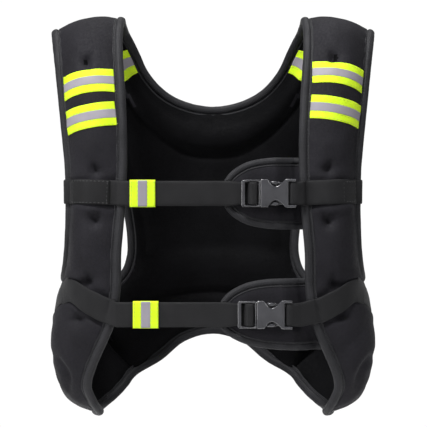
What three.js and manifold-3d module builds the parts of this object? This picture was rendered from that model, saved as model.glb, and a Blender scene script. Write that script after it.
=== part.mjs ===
// A weighted vest of padded neoprene, worn shape kept, fastened at the front by two webbing straps.
// Millimetres, +Z up, +X to the right seen from the front, the front faces -Y. The origin is where the vest
// sits on the shoulders: midway between the two shoulder pads, level with their underside beside the neck.
import * as THREE from "three";
import { mergeVertices } from "three/addons/utils/BufferGeometryUtils.js";
import Module from "manifold-3d";

const wasm = await Module();
wasm.setup();

// Overall form: the tables of sections below hold shares of these
const HALF_WIDTH = 170;
const FRONT_REACH = 100;
const BACK_REACH = 95;
const BODY_LENGTH = 405;

// Padding and its binding
const PAD_THICK = 18;
const PAD_EDGE_THICK = 6.4;
const PAD_SEAM_THICK = 9;
const PAD_ROUND = 24;
const PAD_BOW = 100;
const BINDING_WIDTH = 10;
const BINDING_THICK = 8;
const GAP = 0.4;
const PAD_CLEAR = 0.7;

// Webbing, tapes and their clearances over the padding
const WEBBING_WIDTH = 25;
const WEBBING_THICK = 1.6;
const STRAP_CLEAR = 0.95;
const STRAP_AHEAD = 0.6;
const TAPE_WIDTH = 24.7;
const TAPE_THICK = 0.7;
const TAPE_CLEAR = 0.9;
const SILVER_SHARE = 0.36;
const SILVER_THICK = 0.5;

// Straps: height of the middle line at the front, below the shoulder rest
const CHEST_DROP = 175;
const WAIST_DROP = 296;
const LABEL_THICK = 0.6;
const TAB_LENGTH = 25.5;
const CHEST_BUCKLE_X = 28.2;
const WAIST_BUCKLE_X = 24.6;
const CHEST_TAB_FROM_RIM = 3.52;
const WAIST_TAB_FROM_RIM = 16.14;

// Side-release buckle
const BUCKLE_LENGTH = 54.5;
const BUCKLE_HEIGHT = 28.6;
const BUCKLE_THICK = 9;
const FRAME_THICK = 4;
const BUCKLE_WALL = 1.8;
const CLIP_FRAME_LENGTH = 19;
const BAR_WIDTH = 3.6;
const CROSSBAR_WIDTH = 5.4;
const CROSSBAR_THICK = 2.4;
const SLOT_WIDTH = 5.6;
const RAIL_WIDTH = 1.9;
const FLANGE_BAR = 5;
const FLANGE_THICK = 3;
const FLANGE_SLOT = 2.8;
const MOUTH_CLEAR = 0.4;
const BAR_CLEAR = 0.4;
const LOOP_WIDTH = 22.6;
const TAIL_LENGTH = 22;
const TUCK_LEAD = 2;
const TUCK_RUN = 10;
const CLIP_SLOT = 3.4;
const CLIP_INSET = 0.7;
const SOCKET_INSET = 0.4;
const NOTCH_TO_SLOT = 2.7;
const NOTCH_RISE = 10.5;
const NOTCH_ENTRY = 7;
const NOTCH_EASE = 0.45;
const NOTCH_APEX = 6.8;
const CAVITY_HALF_HEIGHT = 12.3;
const TONGUE_LENGTH = 4.5;
const ARM_LENGTH = 22;
const ARM_WIDTH = 3.2;
const ARM_THICK = 4.4;

// Padded guard behind each buckle
const GUARD_HEIGHT = 73;
const GUARD_THICK = 5;
const GUARD_BINDING = 8;
const GUARD_BINDING_THICK = 5.6;
const GUARD_STEP = 22;
const GUARD_AHEAD = 17;
const GUARD_HOLD = 0.6;

const COLOURS = {
  neoprene: { color: 0x1b1a1d, roughness: 0.92, metalness: 0 },
  binding: { color: 0x26262a, roughness: 0.85, metalness: 0 },
  webbing: { color: 0x202023, roughness: 0.8, metalness: 0 },
  label: { color: 0x18181a, roughness: 0.75, metalness: 0 },
  lime: { color: 0xdcff3c, roughness: 0.6, metalness: 0 },
  silver: { color: 0xa5a0a8, roughness: 0.4, metalness: 0.3 },
  plastic: { color: 0x161619, roughness: 0.4, metalness: 0 },
};

// Sections of a front panel, from the back shoulder seam over the shoulder, down the front and round the side to
// the side seam. arm is the armhole edge and rim the neck, front and hem edge; bow is how far the middle stands
// out, as a share of PAD_BOW, and low above 1 moves the fullest place towards the rim.
const PANEL_SECTIONS = [
  { armX: 1.0, armY: 0.474, armZ: -0.059, rimX: 0.524, rimY: 0.474, rimZ: -0.005, bow: 0.03, low: 1 },
  { armX: 1.0, armY: 0.232, armZ: -0.027, rimX: 0.538, rimY: 0.232, rimZ: 0.012, bow: 0.03, low: 1 },
  { armX: 1.0, armY: 0.0, armZ: -0.017, rimX: 0.539, rimY: 0.0, rimZ: 0.02, bow: 0.03, low: 1 },
  { armX: 0.989, armY: -0.22, armZ: -0.03, rimX: 0.541, rimY: -0.25, rimZ: 0.005, bow: 0.04, low: 1 },
  { armX: 0.971, armY: -0.4, armZ: -0.069, rimX: 0.543, rimY: -0.48, rimZ: -0.035, bow: 0.05, low: 1 },
  { armX: 0.951, armY: -0.52, armZ: -0.123, rimX: 0.535, rimY: -0.66, rimZ: -0.094, bow: 0.06, low: 1 },
  { armX: 0.929, armY: -0.6, armZ: -0.193, rimX: 0.52, rimY: -0.8, rimZ: -0.168, bow: 0.06, low: 1 },
  { armX: 0.906, armY: -0.66, armZ: -0.277, rimX: 0.507, rimY: -0.9, rimZ: -0.259, bow: 0.06, low: 1 },
  { armX: 0.884, armY: -0.68, armZ: -0.365, rimX: 0.503, rimY: -0.96, rimZ: -0.358, bow: 0.06, low: 1 },
  { armX: 0.878, armY: -0.68, armZ: -0.457, rimX: 0.514, rimY: -1.0, rimZ: -0.469, bow: 0.06, low: 1 },
  { armX: 0.88, armY: -0.65, armZ: -0.528, rimX: 0.537, rimY: -1.01, rimZ: -0.58, bow: 0.07, low: 1 },
  { armX: 0.888, armY: -0.57, armZ: -0.575, rimX: 0.542, rimY: -0.99, rimZ: -0.672, bow: 0.08, low: 1.1 },
  { armX: 0.9, armY: -0.44, armZ: -0.607, rimX: 0.582, rimY: -0.96, rimZ: -0.76, bow: 0.1, low: 1.2 },
  { armX: 0.912, armY: -0.27, armZ: -0.627, rimX: 0.665, rimY: -0.9, rimZ: -0.84, bow: 0.14, low: 1.4 },
  { armX: 0.918, armY: -0.11, armZ: -0.637, rimX: 0.724, rimY: -0.81, rimZ: -0.914, bow: 0.175, low: 1.6 },
  { armX: 0.915, armY: 0.021, armZ: -0.644, rimX: 0.685, rimY: -0.69, rimZ: -0.965, bow: 0.205, low: 1.9 },
  { armX: 0.906, armY: 0.137, armZ: -0.651, rimX: 0.662, rimY: -0.47, rimZ: -0.988, bow: 0.215, low: 1.92 },
  { armX: 0.894, armY: 0.242, armZ: -0.658, rimX: 0.684, rimY: -0.2, rimZ: -0.998, bow: 0.215, low: 1.92 },
  { armX: 0.882, armY: 0.337, armZ: -0.664, rimX: 0.704, rimY: 0.105, rimZ: -1.002, bow: 0.215, low: 1.92 },
  { armX: 0.871, armY: 0.411, armZ: -0.669, rimX: 0.688, rimY: 0.463, rimZ: -1.0, bow: 0.2, low: 1.9 },
  { armX: 0.865, armY: 0.453, armZ: -0.672, rimX: 0.594, rimY: 0.716, rimZ: -0.97, bow: 0.18, low: 1.5 },
  { armX: 0.859, armY: 0.484, armZ: -0.674, rimX: 0.482, rimY: 0.842, rimZ: -0.916, bow: 0.17, low: 1.3 },
];

// Edges of the right half of the back panel
const NECKLINE = [
  { x: 0.524, y: 0.474, z: -0.005 },
  { x: 0.476, y: 0.632, z: -0.042 },
  { x: 0.424, y: 0.758, z: -0.091 },
  { x: 0.359, y: 0.842, z: -0.128 },
  { x: 0.282, y: 0.9, z: -0.156 },
  { x: 0.188, y: 0.932, z: -0.175 },
  { x: 0.094, y: 0.953, z: -0.186 },
  { x: 0.0, y: 0.958, z: -0.19 },
];
const BACK_ARMHOLE = [
  { x: 1.0, y: 0.474, z: -0.059 },
  { x: 0.941, y: 0.526, z: -0.104 },
  { x: 0.859, y: 0.632, z: -0.153 },
  { x: 0.765, y: 0.758, z: -0.227 },
  { x: 0.682, y: 0.853, z: -0.314 },
  { x: 0.624, y: 0.905, z: -0.395 },
  { x: 0.582, y: 0.937, z: -0.477 },
  { x: 0.559, y: 0.947, z: -0.548 },
  { x: 0.565, y: 0.947, z: -0.605 },
  { x: 0.618, y: 0.916, z: -0.649 },
  { x: 0.718, y: 0.821, z: -0.672 },
  { x: 0.794, y: 0.663, z: -0.677 },
  { x: 0.859, y: 0.484, z: -0.674 },
];
const BACK_MIDDLE = [
  { x: 0.0, y: 0.958, z: -0.19 },
  { x: 0.0, y: 1.0, z: -0.395 },
  { x: 0.0, y: 1.0, z: -0.593 },
  { x: 0.0, y: 0.989, z: -0.81 },
];
const BACK_HEM = [
  { x: 0.482, y: 0.842, z: -0.916 },
  { x: 0.4, y: 0.884, z: -0.909 },
  { x: 0.294, y: 0.926, z: -0.864 },
  { x: 0.159, y: 0.968, z: -0.825 },
  { x: 0.0, y: 0.989, z: -0.81 },
];

// Creases pressed into the inner face of the back: below the rolled collar, above and between the waist pads
const BACK_CREASES = [
  { name: "collar", fromX: 0.5, fromZ: -0.25, dipZ: -0.33, depth: 5, wide: 9 },
  { name: "waist_top", fromX: 0.52, fromZ: -0.6, dipZ: -0.57, depth: 4, wide: 8 },
  { name: "waist_low", fromX: 0.6, fromZ: -0.75, dipZ: -0.685, depth: 5, wide: 8 },
];

// Dents tacked into the front panels: across runs from the armhole to the rim, along is the share of the length
const DENTS = [
  { side: 1, along: 0.237, across: 0.62, depth: 2.5 },
  { side: 1, along: 0.388, across: 0.64, depth: 2.5 },
  { side: 1, along: 0.447, across: 0.7, depth: 3 },
  { side: 1, along: 0.529, across: 0.72, depth: 3 },
  { side: 1, along: 0.581, across: 0.76, depth: 3 },
  { side: -1, along: 0.243, across: 0.52, depth: 2.5 },
  { side: -1, along: 0.39, across: 0.61, depth: 2.5 },
  { side: -1, along: 0.446, across: 0.65, depth: 3 },
  { side: -1, along: 0.528, across: 0.66, depth: 3 },
  { side: -1, along: 0.593, across: 0.72, depth: 3 },
];
const DENT_WIDE = 9;

// Hi-vis tapes across the shoulders: where the middle line lies along the panel, at the rim and at the armhole
const SHOULDER_TAPES = [
  { name: "shoulder_tape_left_upper", side: -1, rimAlong: 0.275, armAlong: 0.275 },
  { name: "shoulder_tape_left_lower", side: -1, rimAlong: 0.32, armAlong: 0.325 },
  { name: "shoulder_tape_right_upper", side: 1, rimAlong: 0.262, armAlong: 0.263 },
  { name: "shoulder_tape_right_lower", side: 1, rimAlong: 0.311, armAlong: 0.316 },
];

// Where the straps lie on a front panel: across runs from -1 to 0 over the armhole binding and 1 to 2 over the rim
const CHEST_PATH = [-0.9, -0.5, ...[0, 0.07, 0.2, 0.4, 0.6, 0.8, 0.93, 1], 1.5].map((across) => ({
  along: 0.413,
  across,
}));
const WAIST_WING_PATH = [
  { along: 0.91, across: 0.21 },
  { along: 0.84, across: 0.19 },
  { along: 0.75, across: 0.18 },
  { along: 0.68, across: 0.195 },
  { along: 0.62, across: 0.25 },
];
const WAIST_FRONT_PATH = [
  { along: 0.608, across: 0.262 },
  { along: 0.597, across: 0.282 },
  { along: 0.587, across: 0.31 },
  { along: 0.576, across: 0.35 },
  { along: 0.567, across: 0.41 },
  { along: 0.5595, across: 0.5 },
  { along: 0.557, across: 0.6 },
  { along: 0.556, across: 0.7 },
  { along: 0.555, across: 0.8 },
  { along: 0.5545, across: 0.93 },
  { along: 0.554, across: 1 },
  { along: 0.553, across: 1.5 },
];

const STATIONS = 42;
const COLUMNS = [0, 0.07, 0.2, 0.4, 0.6, 0.8, 0.93, 1];
const BACK_ROWS = 19;
const TAUT_PASSES = 60;
const TAUT_FROM = 0.3;
const TAUT_TO = 0.8;
const STEP = 1e-3;

const clamp = (value, low, high) => Math.min(high, Math.max(low, value));
const mix = (a, b, share) => a + (b - a) * share;
const smooth = (value) => {
  const t = clamp(value, 0, 1);
  return t * t * (3 - 2 * t);
};

// A place in the vest from shares of its named sizes, ahead of and behind the shoulders
function place(x, y, z) {
  return new THREE.Vector3(x * HALF_WIDTH, y * (y < 0 ? FRONT_REACH : BACK_REACH), z * BODY_LENGTH);
}

// A smooth curve through the rows of a table
function curveThrough(rows) {
  return new THREE.CatmullRomCurve3(rows.map(({ x, y, z }) => place(x, y, z)), false, "centripetal");
}

const armCurve = curveThrough(PANEL_SECTIONS.map(({ armX, armY, armZ }) => ({ x: armX, y: armY, z: armZ })));
const rimCurve = curveThrough(PANEL_SECTIONS.map(({ rimX, rimY, rimZ }) => ({ x: rimX, y: rimY, z: rimZ })));

// A column of the section table between its rows
function sectionValue(key, t) {
  const at = clamp(t, 0, 1) * (PANEL_SECTIONS.length - 1);
  const row = Math.min(Math.floor(at), PANEL_SECTIONS.length - 2);
  return mix(PANEL_SECTIONS[row][key], PANEL_SECTIONS[row + 1][key], smooth(at - row));
}

function lineThrough(t, s) {
  const from = clamp(t, 0, 1);
  return armCurve.getPoint(from).lerp(rimCurve.getPoint(from), s);
}

// Middle surface of a front panel: t along its length, s from the armhole edge to the rim
function panelMiddle(t, s) {
  const from = clamp(t - STEP, 0, 1);
  const to = clamp(t + STEP, 0, 1);
  const along = lineThrough(to, 0.5).sub(lineThrough(from, 0.5));
  const across = lineThrough(t, 1).sub(lineThrough(t, 0));
  const out = across.cross(along).normalize();
  const bow = sectionValue("bow", t) * PAD_BOW * Math.sin(Math.PI * clamp(s, 0, 1) ** sectionValue("low", t));
  return lineThrough(t, s).addScaledVector(out, bow);
}

function surfaceNormal(surface, t, s) {
  const t0 = clamp(t - STEP, 0, 1);
  const t1 = clamp(t + STEP, 0, 1);
  const s0 = clamp(s - STEP, 0, 1);
  const s1 = clamp(s + STEP, 0, 1);
  const along = surface(t1, s).sub(surface(t0, s));
  const across = surface(t, s1).sub(surface(t, s0));
  return across.cross(along).normalize();
}

// Half thickness of the padding, by how far it lies from a bound edge and from a seam
function halfPad(fromEdge, fromSeam) {
  const swell = Math.sin((Math.PI / 2) * clamp(fromEdge / PAD_ROUND, 0, 1));
  const full = mix(PAD_EDGE_THICK, PAD_THICK, swell) / 2;
  return Math.min(full, mix(PAD_SEAM_THICK / 2, full, smooth(fromSeam / PAD_ROUND)));
}

// The base surface's edges: outermost point, outward normal and direction inwards, square to the edge except at the
// seams, where it follows the seam so that the front and the back agree
function framesOf(curve, normals, seamInners) {
  return curve.map((point, i) => {
    const ahead = curve[Math.min(i + 1, curve.length - 1)];
    const behind = curve[Math.max(i - 1, 0)];
    const along = ahead.clone().sub(behind).normalize();
    const normal = normals[i];
    const inner = normal.clone().cross(along).normalize();
    if (inner.dot(seamInners[0]) < 0) inner.negate();
    if (i === 0) inner.copy(seamInners[0]);
    if (i === curve.length - 1) inner.copy(seamInners[1]);
    return { point, normal, inner };
  });
}

const samples = (count) => Array.from({ length: count + 1 }, (_, i) => i / count);
const INSET = BINDING_WIDTH + PAD_CLEAR;
const stationShares = samples(STATIONS);

function panelFrames(edge) {
  const towards = edge === 0 ? 0.05 : -0.05;
  const curve = stationShares.map((t) => panelMiddle(t, edge));
  const normals = stationShares.map((t) => surfaceNormal(panelMiddle, t, clamp(edge, 0.02, 0.98)));
  const seamInners = [0, 1].map((t) => panelMiddle(t, edge + towards).sub(panelMiddle(t, edge)).normalize());
  const frames = framesOf(curve, normals, seamInners);
  frames.forEach((frame, i) => {
    if (i === 0 || i === STATIONS) return;
    const row = panelMiddle(stationShares[i], edge + towards).sub(frame.point);
    if (frame.inner.dot(row) < 0) frame.inner.negate();
  });
  return frames;
}

const armFrames = panelFrames(0);
const rimFrames = panelFrames(1);
const panelRuns = stationShares.reduce((runs, t, i) => {
  const step = i ? panelMiddle(t, 0.5).distanceTo(panelMiddle(stationShares[i - 1], 0.5)) : 0;
  return [...runs, (runs[i - 1] ?? 0) + step];
}, []);

// A value given at the panel's stations, between them
function betweenStations(values, t) {
  const at = clamp(t, 0, 1) * STATIONS;
  const low = Math.min(Math.floor(at), STATIONS - 1);
  const share = at - low;
  if (typeof values[0] === "number") return mix(values[low], values[low + 1], share);
  return values[low].clone().lerp(values[low + 1], share);
}

const armInners = armFrames.map(({ inner }) => inner);
const rimInners = rimFrames.map(({ inner }) => inner);
const armNormals = armFrames.map(({ normal }) => normal);
const rimNormals = rimFrames.map(({ normal }) => normal);
const NORMAL_BLEND = 0.15;

// Middle of the padding inside the bindings: f runs from the armhole binding to the rim binding
function padMiddle(t, f) {
  return panelMiddle(t, f)
    .addScaledVector(betweenStations(armInners, t), INSET * (1 - f))
    .addScaledVector(betweenStations(rimInners, t), INSET * f);
}

// The padding's face looks the way its bindings do where it meets them
function padNormal(t, f) {
  const own = surfaceNormal(padMiddle, t, clamp(f, 0.02, 0.98));
  const normals = f < 0.5 ? armNormals : rimNormals;
  const share = 1 - smooth(Math.min(f, 1 - f) / NORMAL_BLEND);
  return own.lerp(betweenStations(normals, t), share).normalize();
}

function dentAt(t, f, side, width) {
  const run = betweenStations(panelRuns, t);
  return DENTS.filter((dent) => dent.side === side).reduce((sum, { along, across, depth }) => {
    const away = Math.hypot(run - betweenStations(panelRuns, along), (f - across) * width);
    return sum + depth * Math.exp(-((away / DENT_WIDE) ** 2));
  }, 0);
}

// A point on the padding's face: lift is how far it stands off the face, outer 1 or -1 which face it is
function panelSkin(t, f, side, outer = 1, lift = 0) {
  const width = padMiddle(t, 0).distanceTo(padMiddle(t, 1));
  const run = betweenStations(panelRuns, t);
  const half = halfPad(Math.min(f, 1 - f) * width, Math.min(run, panelRuns[STATIONS] - run));
  const dent = outer > 0 ? dentAt(t, f, side, width) : 0;
  return padMiddle(t, f).addScaledVector(padNormal(t, f), outer * (half + lift) - dent);
}

const mirrored = (point, side) => point.clone().multiply(new THREE.Vector3(side, 1, 1));

// A closed body from rings of points, whose first half lies on one face and whose second half comes back on the
// other; a run that isn't a loop is closed by a flat ladder of faces at each end
function loft(rings, loop = false) {
  const count = rings[0].length;
  const index = [];
  const last = loop ? rings.length : rings.length - 1;
  for (let i = 0; i < last; i++) {
    const next = (i + 1) % rings.length;
    for (let j = 0; j < count; j++) {
      const k = (j + 1) % count;
      const [a, b, c, d] = [i * count + j, i * count + k, next * count + k, next * count + j];
      index.push(a, b, c, a, c, d);
    }
  }
  for (const [ring, flip] of loop ? [] : [[0, true], [rings.length - 1, false]]) {
    const start = ring * count;
    for (let j = 0; j < count / 2 - 1; j++) {
      const [a, b, c, d] = [start + j, start + j + 1, start + count - 2 - j, start + count - 1 - j];
      const faces = [[a, b, c], [a, c, d]];
      faces.forEach(([p, q, r]) => index.push(...(flip ? [p, r, q] : [p, q, r])));
    }
  }
  return closedBody(rings.flat(), index);
}

// Triangles over shared points as a geometry whose faces all look outwards
function closedBody(points, index) {
  const volume = index.reduce((sum, _, i) => {
    if (i % 3) return sum;
    return sum + points[index[i]].dot(points[index[i + 1]].clone().cross(points[index[i + 2]]));
  }, 0);
  const faces = volume > 0 ? index : index.slice().reverse();
  return new THREE.BufferGeometry()
    .setAttribute("position", new THREE.Float32BufferAttribute(points.flatMap((p) => p.toArray()), 3))
    .setIndex(faces);
}

const vest = new THREE.Group();
const materials = Object.fromEntries(
  Object.entries(COLOURS).map(([name, look]) => [name, new THREE.MeshStandardMaterial(look)]),
);

function addPiece(name, geometry, material) {
  const mesh = new THREE.Mesh(geometry, materials[material]);
  mesh.name = name;
  vest.add(mesh);
  return mesh;
}

// The front panel on one side; its end sections stop a gap short of the seams
function frontPanel(side) {
  const rings = stationShares.map((t, i) => {
    const inwards = i === 0 ? 1 : -1;
    const shift = new THREE.Vector3();
    if (i === 0 || i === STATIONS) {
      shift.copy(padMiddle(t + inwards * 2 * STEP, 0.5)).sub(padMiddle(t, 0.5)).setLength(GAP);
    }
    const face = (outer) => COLUMNS.map((f) => mirrored(panelSkin(t, f, side, outer).add(shift), side));
    return [...face(1), ...face(-1).reverse()];
  });
  return loft(rings);
}

// Back panel, right half: v runs down from the shoulder seam and u from the armhole to the neckline and middle
const NECK_SHARE = 0.46;
const SEAM_SHARE = 0.58;
const HEM_COLUMNS = 3;
const neckCurve = curveThrough(NECKLINE);
const backArmCurve = curveThrough(BACK_ARMHOLE);
const middleCurve = curveThrough(BACK_MIDDLE);
const hemCurve = curveThrough(BACK_HEM);

// A four-sided patch between its edges
function patch(top, bottom, outer, inner) {
  return (v, u) => {
    const corners = new THREE.Vector3()
      .addScaledVector(top(0), (1 - u) * (1 - v))
      .addScaledVector(top(1), u * (1 - v))
      .addScaledVector(bottom(0), (1 - u) * v)
      .addScaledVector(bottom(1), u * v);
    return new THREE.Vector3()
      .addScaledVector(top(u), 1 - v)
      .addScaledVector(bottom(u), v)
      .addScaledVector(outer(v), 1 - u)
      .addScaledVector(inner(v), u)
      .sub(corners);
  };
}

const seamOrHem = (seam, hem) => (u) => (u < SEAM_SHARE ? seam(u / SEAM_SHARE) : hem((u - SEAM_SHARE) / (1 - SEAM_SHARE)));
const neckOrMiddle = (neck, middle) => (v) => (v < NECK_SHARE ? neck(v / NECK_SHARE) : middle((v - NECK_SHARE) / (1 - NECK_SHARE)));

const backBase = patch(
  (u) => panelMiddle(0, u),
  seamOrHem((s) => panelMiddle(1, s), (s) => hemCurve.getPointAt(s)),
  (v) => backArmCurve.getPointAt(v),
  neckOrMiddle((s) => neckCurve.getPointAt(s), (s) => middleCurve.getPointAt(s)),
);

const neckRows = Math.round(BACK_ROWS * NECK_SHARE);
const rowShares = [
  ...samples(neckRows).map((s) => s * NECK_SHARE),
  ...samples(BACK_ROWS - neckRows).slice(1).map((s) => mix(NECK_SHARE, 1, s)),
];
const columnShares = [
  ...COLUMNS.map((f) => f * SEAM_SHARE),
  ...samples(HEM_COLUMNS).slice(1).map((s) => mix(SEAM_SHARE, 1, s)),
];
// The way the back looks at its edges: drawn taut between the armholes, it looks straight back there
const backNormal = (v, u) => {
  const normal = surfaceNormal(backBase, clamp(v, 0.02, 0.98), clamp(u, 0.02, 0.98)).negate();
  const taut = u === 0 ? smooth(v / TAUT_FROM) * smooth((1 - v) / (1 - TAUT_TO)) : 0;
  return normal.lerp(REAR, taut).normalize();
};
const REAR = new THREE.Vector3(0, 1, 0);
const DOWN = new THREE.Vector3(0, 0, -1);
const UP = new THREE.Vector3(0, 0, 1);

// The last frame before a seam turns half way towards the seam's own
function easeTurn(frames) {
  const [before, turning, last] = frames.slice(-3);
  for (const key of ["inner", "normal"]) turning[key] = before[key].clone().add(last[key]).normalize();
}

function backFrames(places, first, last) {
  const curve = places.map(([v, u]) => backBase(v, u));
  const normals = places.map(([v, u]) => backNormal(v, u));
  const frames = framesOf(curve, normals, [first.inner, last.inner]);
  frames[0].normal = first.normal ?? frames[0].normal;
  frames[frames.length - 1].normal = last.normal ?? frames[frames.length - 1].normal;
  const centre = backBase(0.6, 0.5);
  frames.slice(1, -1).forEach((frame, i) => {
    const [v, u] = places[i + 1];
    const inwards = backBase(mix(v, 0.7, 0.08), mix(u, 0.5, 0.08)).sub(frame.point);
    if (inwards.lengthSq() === 0) inwards.copy(centre).sub(frame.point);
    if (frame.inner.dot(inwards) < 0) frame.inner.negate();
  });
  return frames;
}

const backArmFrames = backFrames(rowShares.map((v) => [v, 0]), armFrames[0], armFrames[STATIONS]);
easeTurn(backArmFrames);
const neckFrames = backFrames(rowShares.slice(0, neckRows + 1).map((v) => [v, 1]), rimFrames[0], { inner: DOWN });
const hemFrames = backFrames(columnShares.slice(COLUMNS.length - 1).map((u) => [1, u]), rimFrames[STATIONS], { inner: UP });
const insetPoint = ({ point, inner }) => point.clone().addScaledVector(inner, INSET);
const insetCurve = (frames) => {
  const points = frames.map(insetPoint);
  return (s) => {
    const at = clamp(s, 0, 1) * (points.length - 1);
    const low = Math.min(Math.floor(at), points.length - 2);
    return points[low].clone().lerp(points[low + 1], at - low);
  };
};
const neckInset = insetCurve(neckFrames);
const hemInset = insetCurve(hemFrames);
const backArmInset = insetCurve(backArmFrames);
const rowIndex = (v) => {
  const row = rowShares.findIndex((share) => share >= v - 1e-9);
  if (row <= 0) return 0;
  return (row - 1 + (v - rowShares[row - 1]) / (rowShares[row] - rowShares[row - 1])) / BACK_ROWS;
};
const middleTop = neckInset(1);
const middleFoot = hemInset(1);
const backMiddle = patch(
  (u) => padMiddle(0, u),
  seamOrHem((s) => padMiddle(1, s), hemInset),
  (v) => backArmInset(rowIndex(v)),
  neckOrMiddle(neckInset, (s) => {
    const point = middleCurve.getPointAt(s);
    point.z = mix(middleTop.z, middleFoot.z, s);
    return point;
  }),
);

// How far a point of the back lies from the nearest of some edge points
const nearest = (point, others) => Math.min(...others.map((other) => other.distanceTo(point)));
const boundEdges = [backArmInset, neckInset, hemInset].flatMap((edge) => samples(60).map(edge));
const seamEdges = samples(30).flatMap((s) => [padMiddle(0, s), padMiddle(1, s)]);

function creaseAt(point) {
  return BACK_CREASES.reduce((sum, { fromX, fromZ, dipZ, depth, wide }) => {
    const share = Math.abs(point.x) / (fromX * HALF_WIDTH);
    const line = mix(dipZ, fromZ, share ** 2) * BODY_LENGTH;
    const fade = smooth((1.15 - share) / 0.3);
    return sum + depth * fade * Math.exp(-(((point.z - line) / wide) ** 2));
  }, 0);
}

// The way the binding looks where a point of the back's outline meets it
function boundNormal(v, u) {
  const row = rowShares.indexOf(v);
  const column = columnShares.indexOf(u);
  if (u === 0) return backArmFrames[row].normal;
  if (u === 1 && row <= neckRows) return neckFrames[row].normal;
  if (v === 1 && column >= COLUMNS.length - 1) return hemFrames[column - COLUMNS.length + 1].normal;
  return null;
}

// The back's middle surface on its grid, its depth drawn taut between its edges by averaging
function tautGrid() {
  const grid = rowShares.map((v) => columnShares.map((u) => backMiddle(v, u)));
  const last = columnShares.length - 1;
  for (let pass = 0; pass < TAUT_PASSES; pass++) {
    for (let row = 1; row < BACK_ROWS; row++) {
      for (let column = 1; column <= (row > neckRows ? last : last - 1); column++) {
        const inner = grid[row][column === last ? last - 1 : column + 1];
        const middled = column === last ? mirrored(inner, -1) : inner;
        const around = [grid[row][column - 1], middled, grid[row - 1][column], grid[row + 1][column]];
        const pulls = around.map(({ x, z }) => 1 / Math.hypot(x - grid[row][column].x, z - grid[row][column].z));
        const pull = pulls.reduce((sum, value) => sum + value, 0);
        grid[row][column].y = around.reduce((sum, { y }, i) => sum + y * pulls[i], 0) / pull;
      }
    }
  }
  return grid;
}

const backGrid = tautGrid();

// The way the back looks at a point of its grid
function gridNormal(row, column) {
  const last = columnShares.length - 1;
  const bound = boundNormal(rowShares[row], columnShares[column]);
  if (bound) return bound;
  const at = (r, c) => backGrid[clamp(r, 0, BACK_ROWS)][clamp(c, 0, last)];
  const down = at(row + 1, column).clone().sub(at(row - 1, column));
  const inwards = column === last ? new THREE.Vector3(-1, 0, 0) : at(row, column + 1).clone().sub(at(row, column - 1));
  const normal = down.cross(inwards).normalize();
  return column === last ? normal.setX(0).normalize() : normal;
}

// A point of the back's face: lift is how far it stands off the face, outer 1 or -1 which face it is
function backSkin(row, column, outer, lift = 0) {
  const [v, u] = [rowShares[row], columnShares[column]];
  const onSeam = row === 0 || (row === BACK_ROWS && u <= SEAM_SHARE);
  if (onSeam) return panelSkin(v, row === 0 ? u : u / SEAM_SHARE, 1, outer, lift);
  const middle = backGrid[row][column].clone();
  const half = halfPad(nearest(middle, boundEdges), nearest(middle, seamEdges));
  const crease = outer < 0 ? creaseAt(middle) : 0;
  const off = outer * (Math.max(half - crease, PAD_EDGE_THICK / 2) + lift);
  return middle.addScaledVector(gridNormal(row, column), off);
}

// The whole back: both halves share the points of the middle line
function backPanel() {
  const points = [];
  const numbers = new Map();
  const numberOf = (side, outer, row, column) => {
    const shared = column === columnShares.length - 1 && row >= neckRows;
    const key = [shared ? 0 : side, outer, row, column].join();
    if (!numbers.has(key)) {
      numbers.set(key, points.length);
      const point = mirrored(backSkin(row, column, outer), side);
      points.push(shared ? point.setX(0) : point);
    }
    return numbers.get(key);
  };
  const index = [];
  const face = (corners, flip) => {
    const [a, b, c, d] = corners;
    index.push(...(flip ? [a, c, b, a, d, c] : [a, b, c, a, c, d]));
  };
  const columns = columnShares.length - 1;
  for (const side of [1, -1]) {
    for (let row = 0; row < BACK_ROWS; row++) {
      for (let column = 0; column < columns; column++) {
        for (const outer of [1, -1]) {
          const corners = [[row, column], [row + 1, column], [row + 1, column + 1], [row, column + 1]];
          face(corners.map(([r, c]) => numberOf(side, outer, r, c)), side * outer < 0);
        }
      }
    }
    const wall = (from, to, flip) => {
      const corners = [[from, 1], [to, 1], [to, -1], [from, -1]];
      face(corners.map(([[r, c], outer]) => numberOf(side, outer, r, c)), (side < 0) !== flip);
    };
    for (let row = 0; row < BACK_ROWS; row++) {
      wall([row, 0], [row + 1, 0], true);
      if (row < neckRows) wall([row, columns], [row + 1, columns], false);
    }
    for (let column = 0; column < columns; column++) {
      wall([0, column], [0, column + 1], false);
      wall([BACK_ROWS, column], [BACK_ROWS, column + 1], true);
    }
  }
  return closedBody(points, index);
}

// Binding section: in from the edge and out from the middle of its thickness, shares of its width and thickness
const BINDING_SECTION = [
  { in: 1, out: 0.4 },
  { in: 0.5, out: 0.5 },
  { in: 0.06, out: 0.25 },
  { in: 0.06, out: -0.25 },
  { in: 0.5, out: -0.5 },
  { in: 1, out: -0.4 },
];

function bindingRing({ point, normal, inner }) {
  return BINDING_SECTION.map((corner) =>
    point.clone().addScaledVector(inner, corner.in * BINDING_WIDTH).addScaledVector(normal, corner.out * BINDING_THICK),
  );
}

const mirroredRing = (ring, side) => ring.map((point) => mirrored(point, side));

function armholeBinding(side) {
  const frames = [...backArmFrames.slice(0, -1), ...armFrames.slice(1).reverse()];
  return loft(frames.map((frame) => mirroredRing(bindingRing(frame), side)), true);
}

function edgeBinding() {
  const half = [...neckFrames.slice(1).reverse(), ...rimFrames.slice(0, -1), ...hemFrames];
  const rings = half.map(bindingRing);
  rings[0].forEach((point) => point.setX(0));
  rings[rings.length - 1].forEach((point) => point.setX(0));
  const back = rings.slice(1, -1).reverse().map((ring) => mirroredRing(ring, -1));
  return loft([...rings, ...back], true);
}

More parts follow.
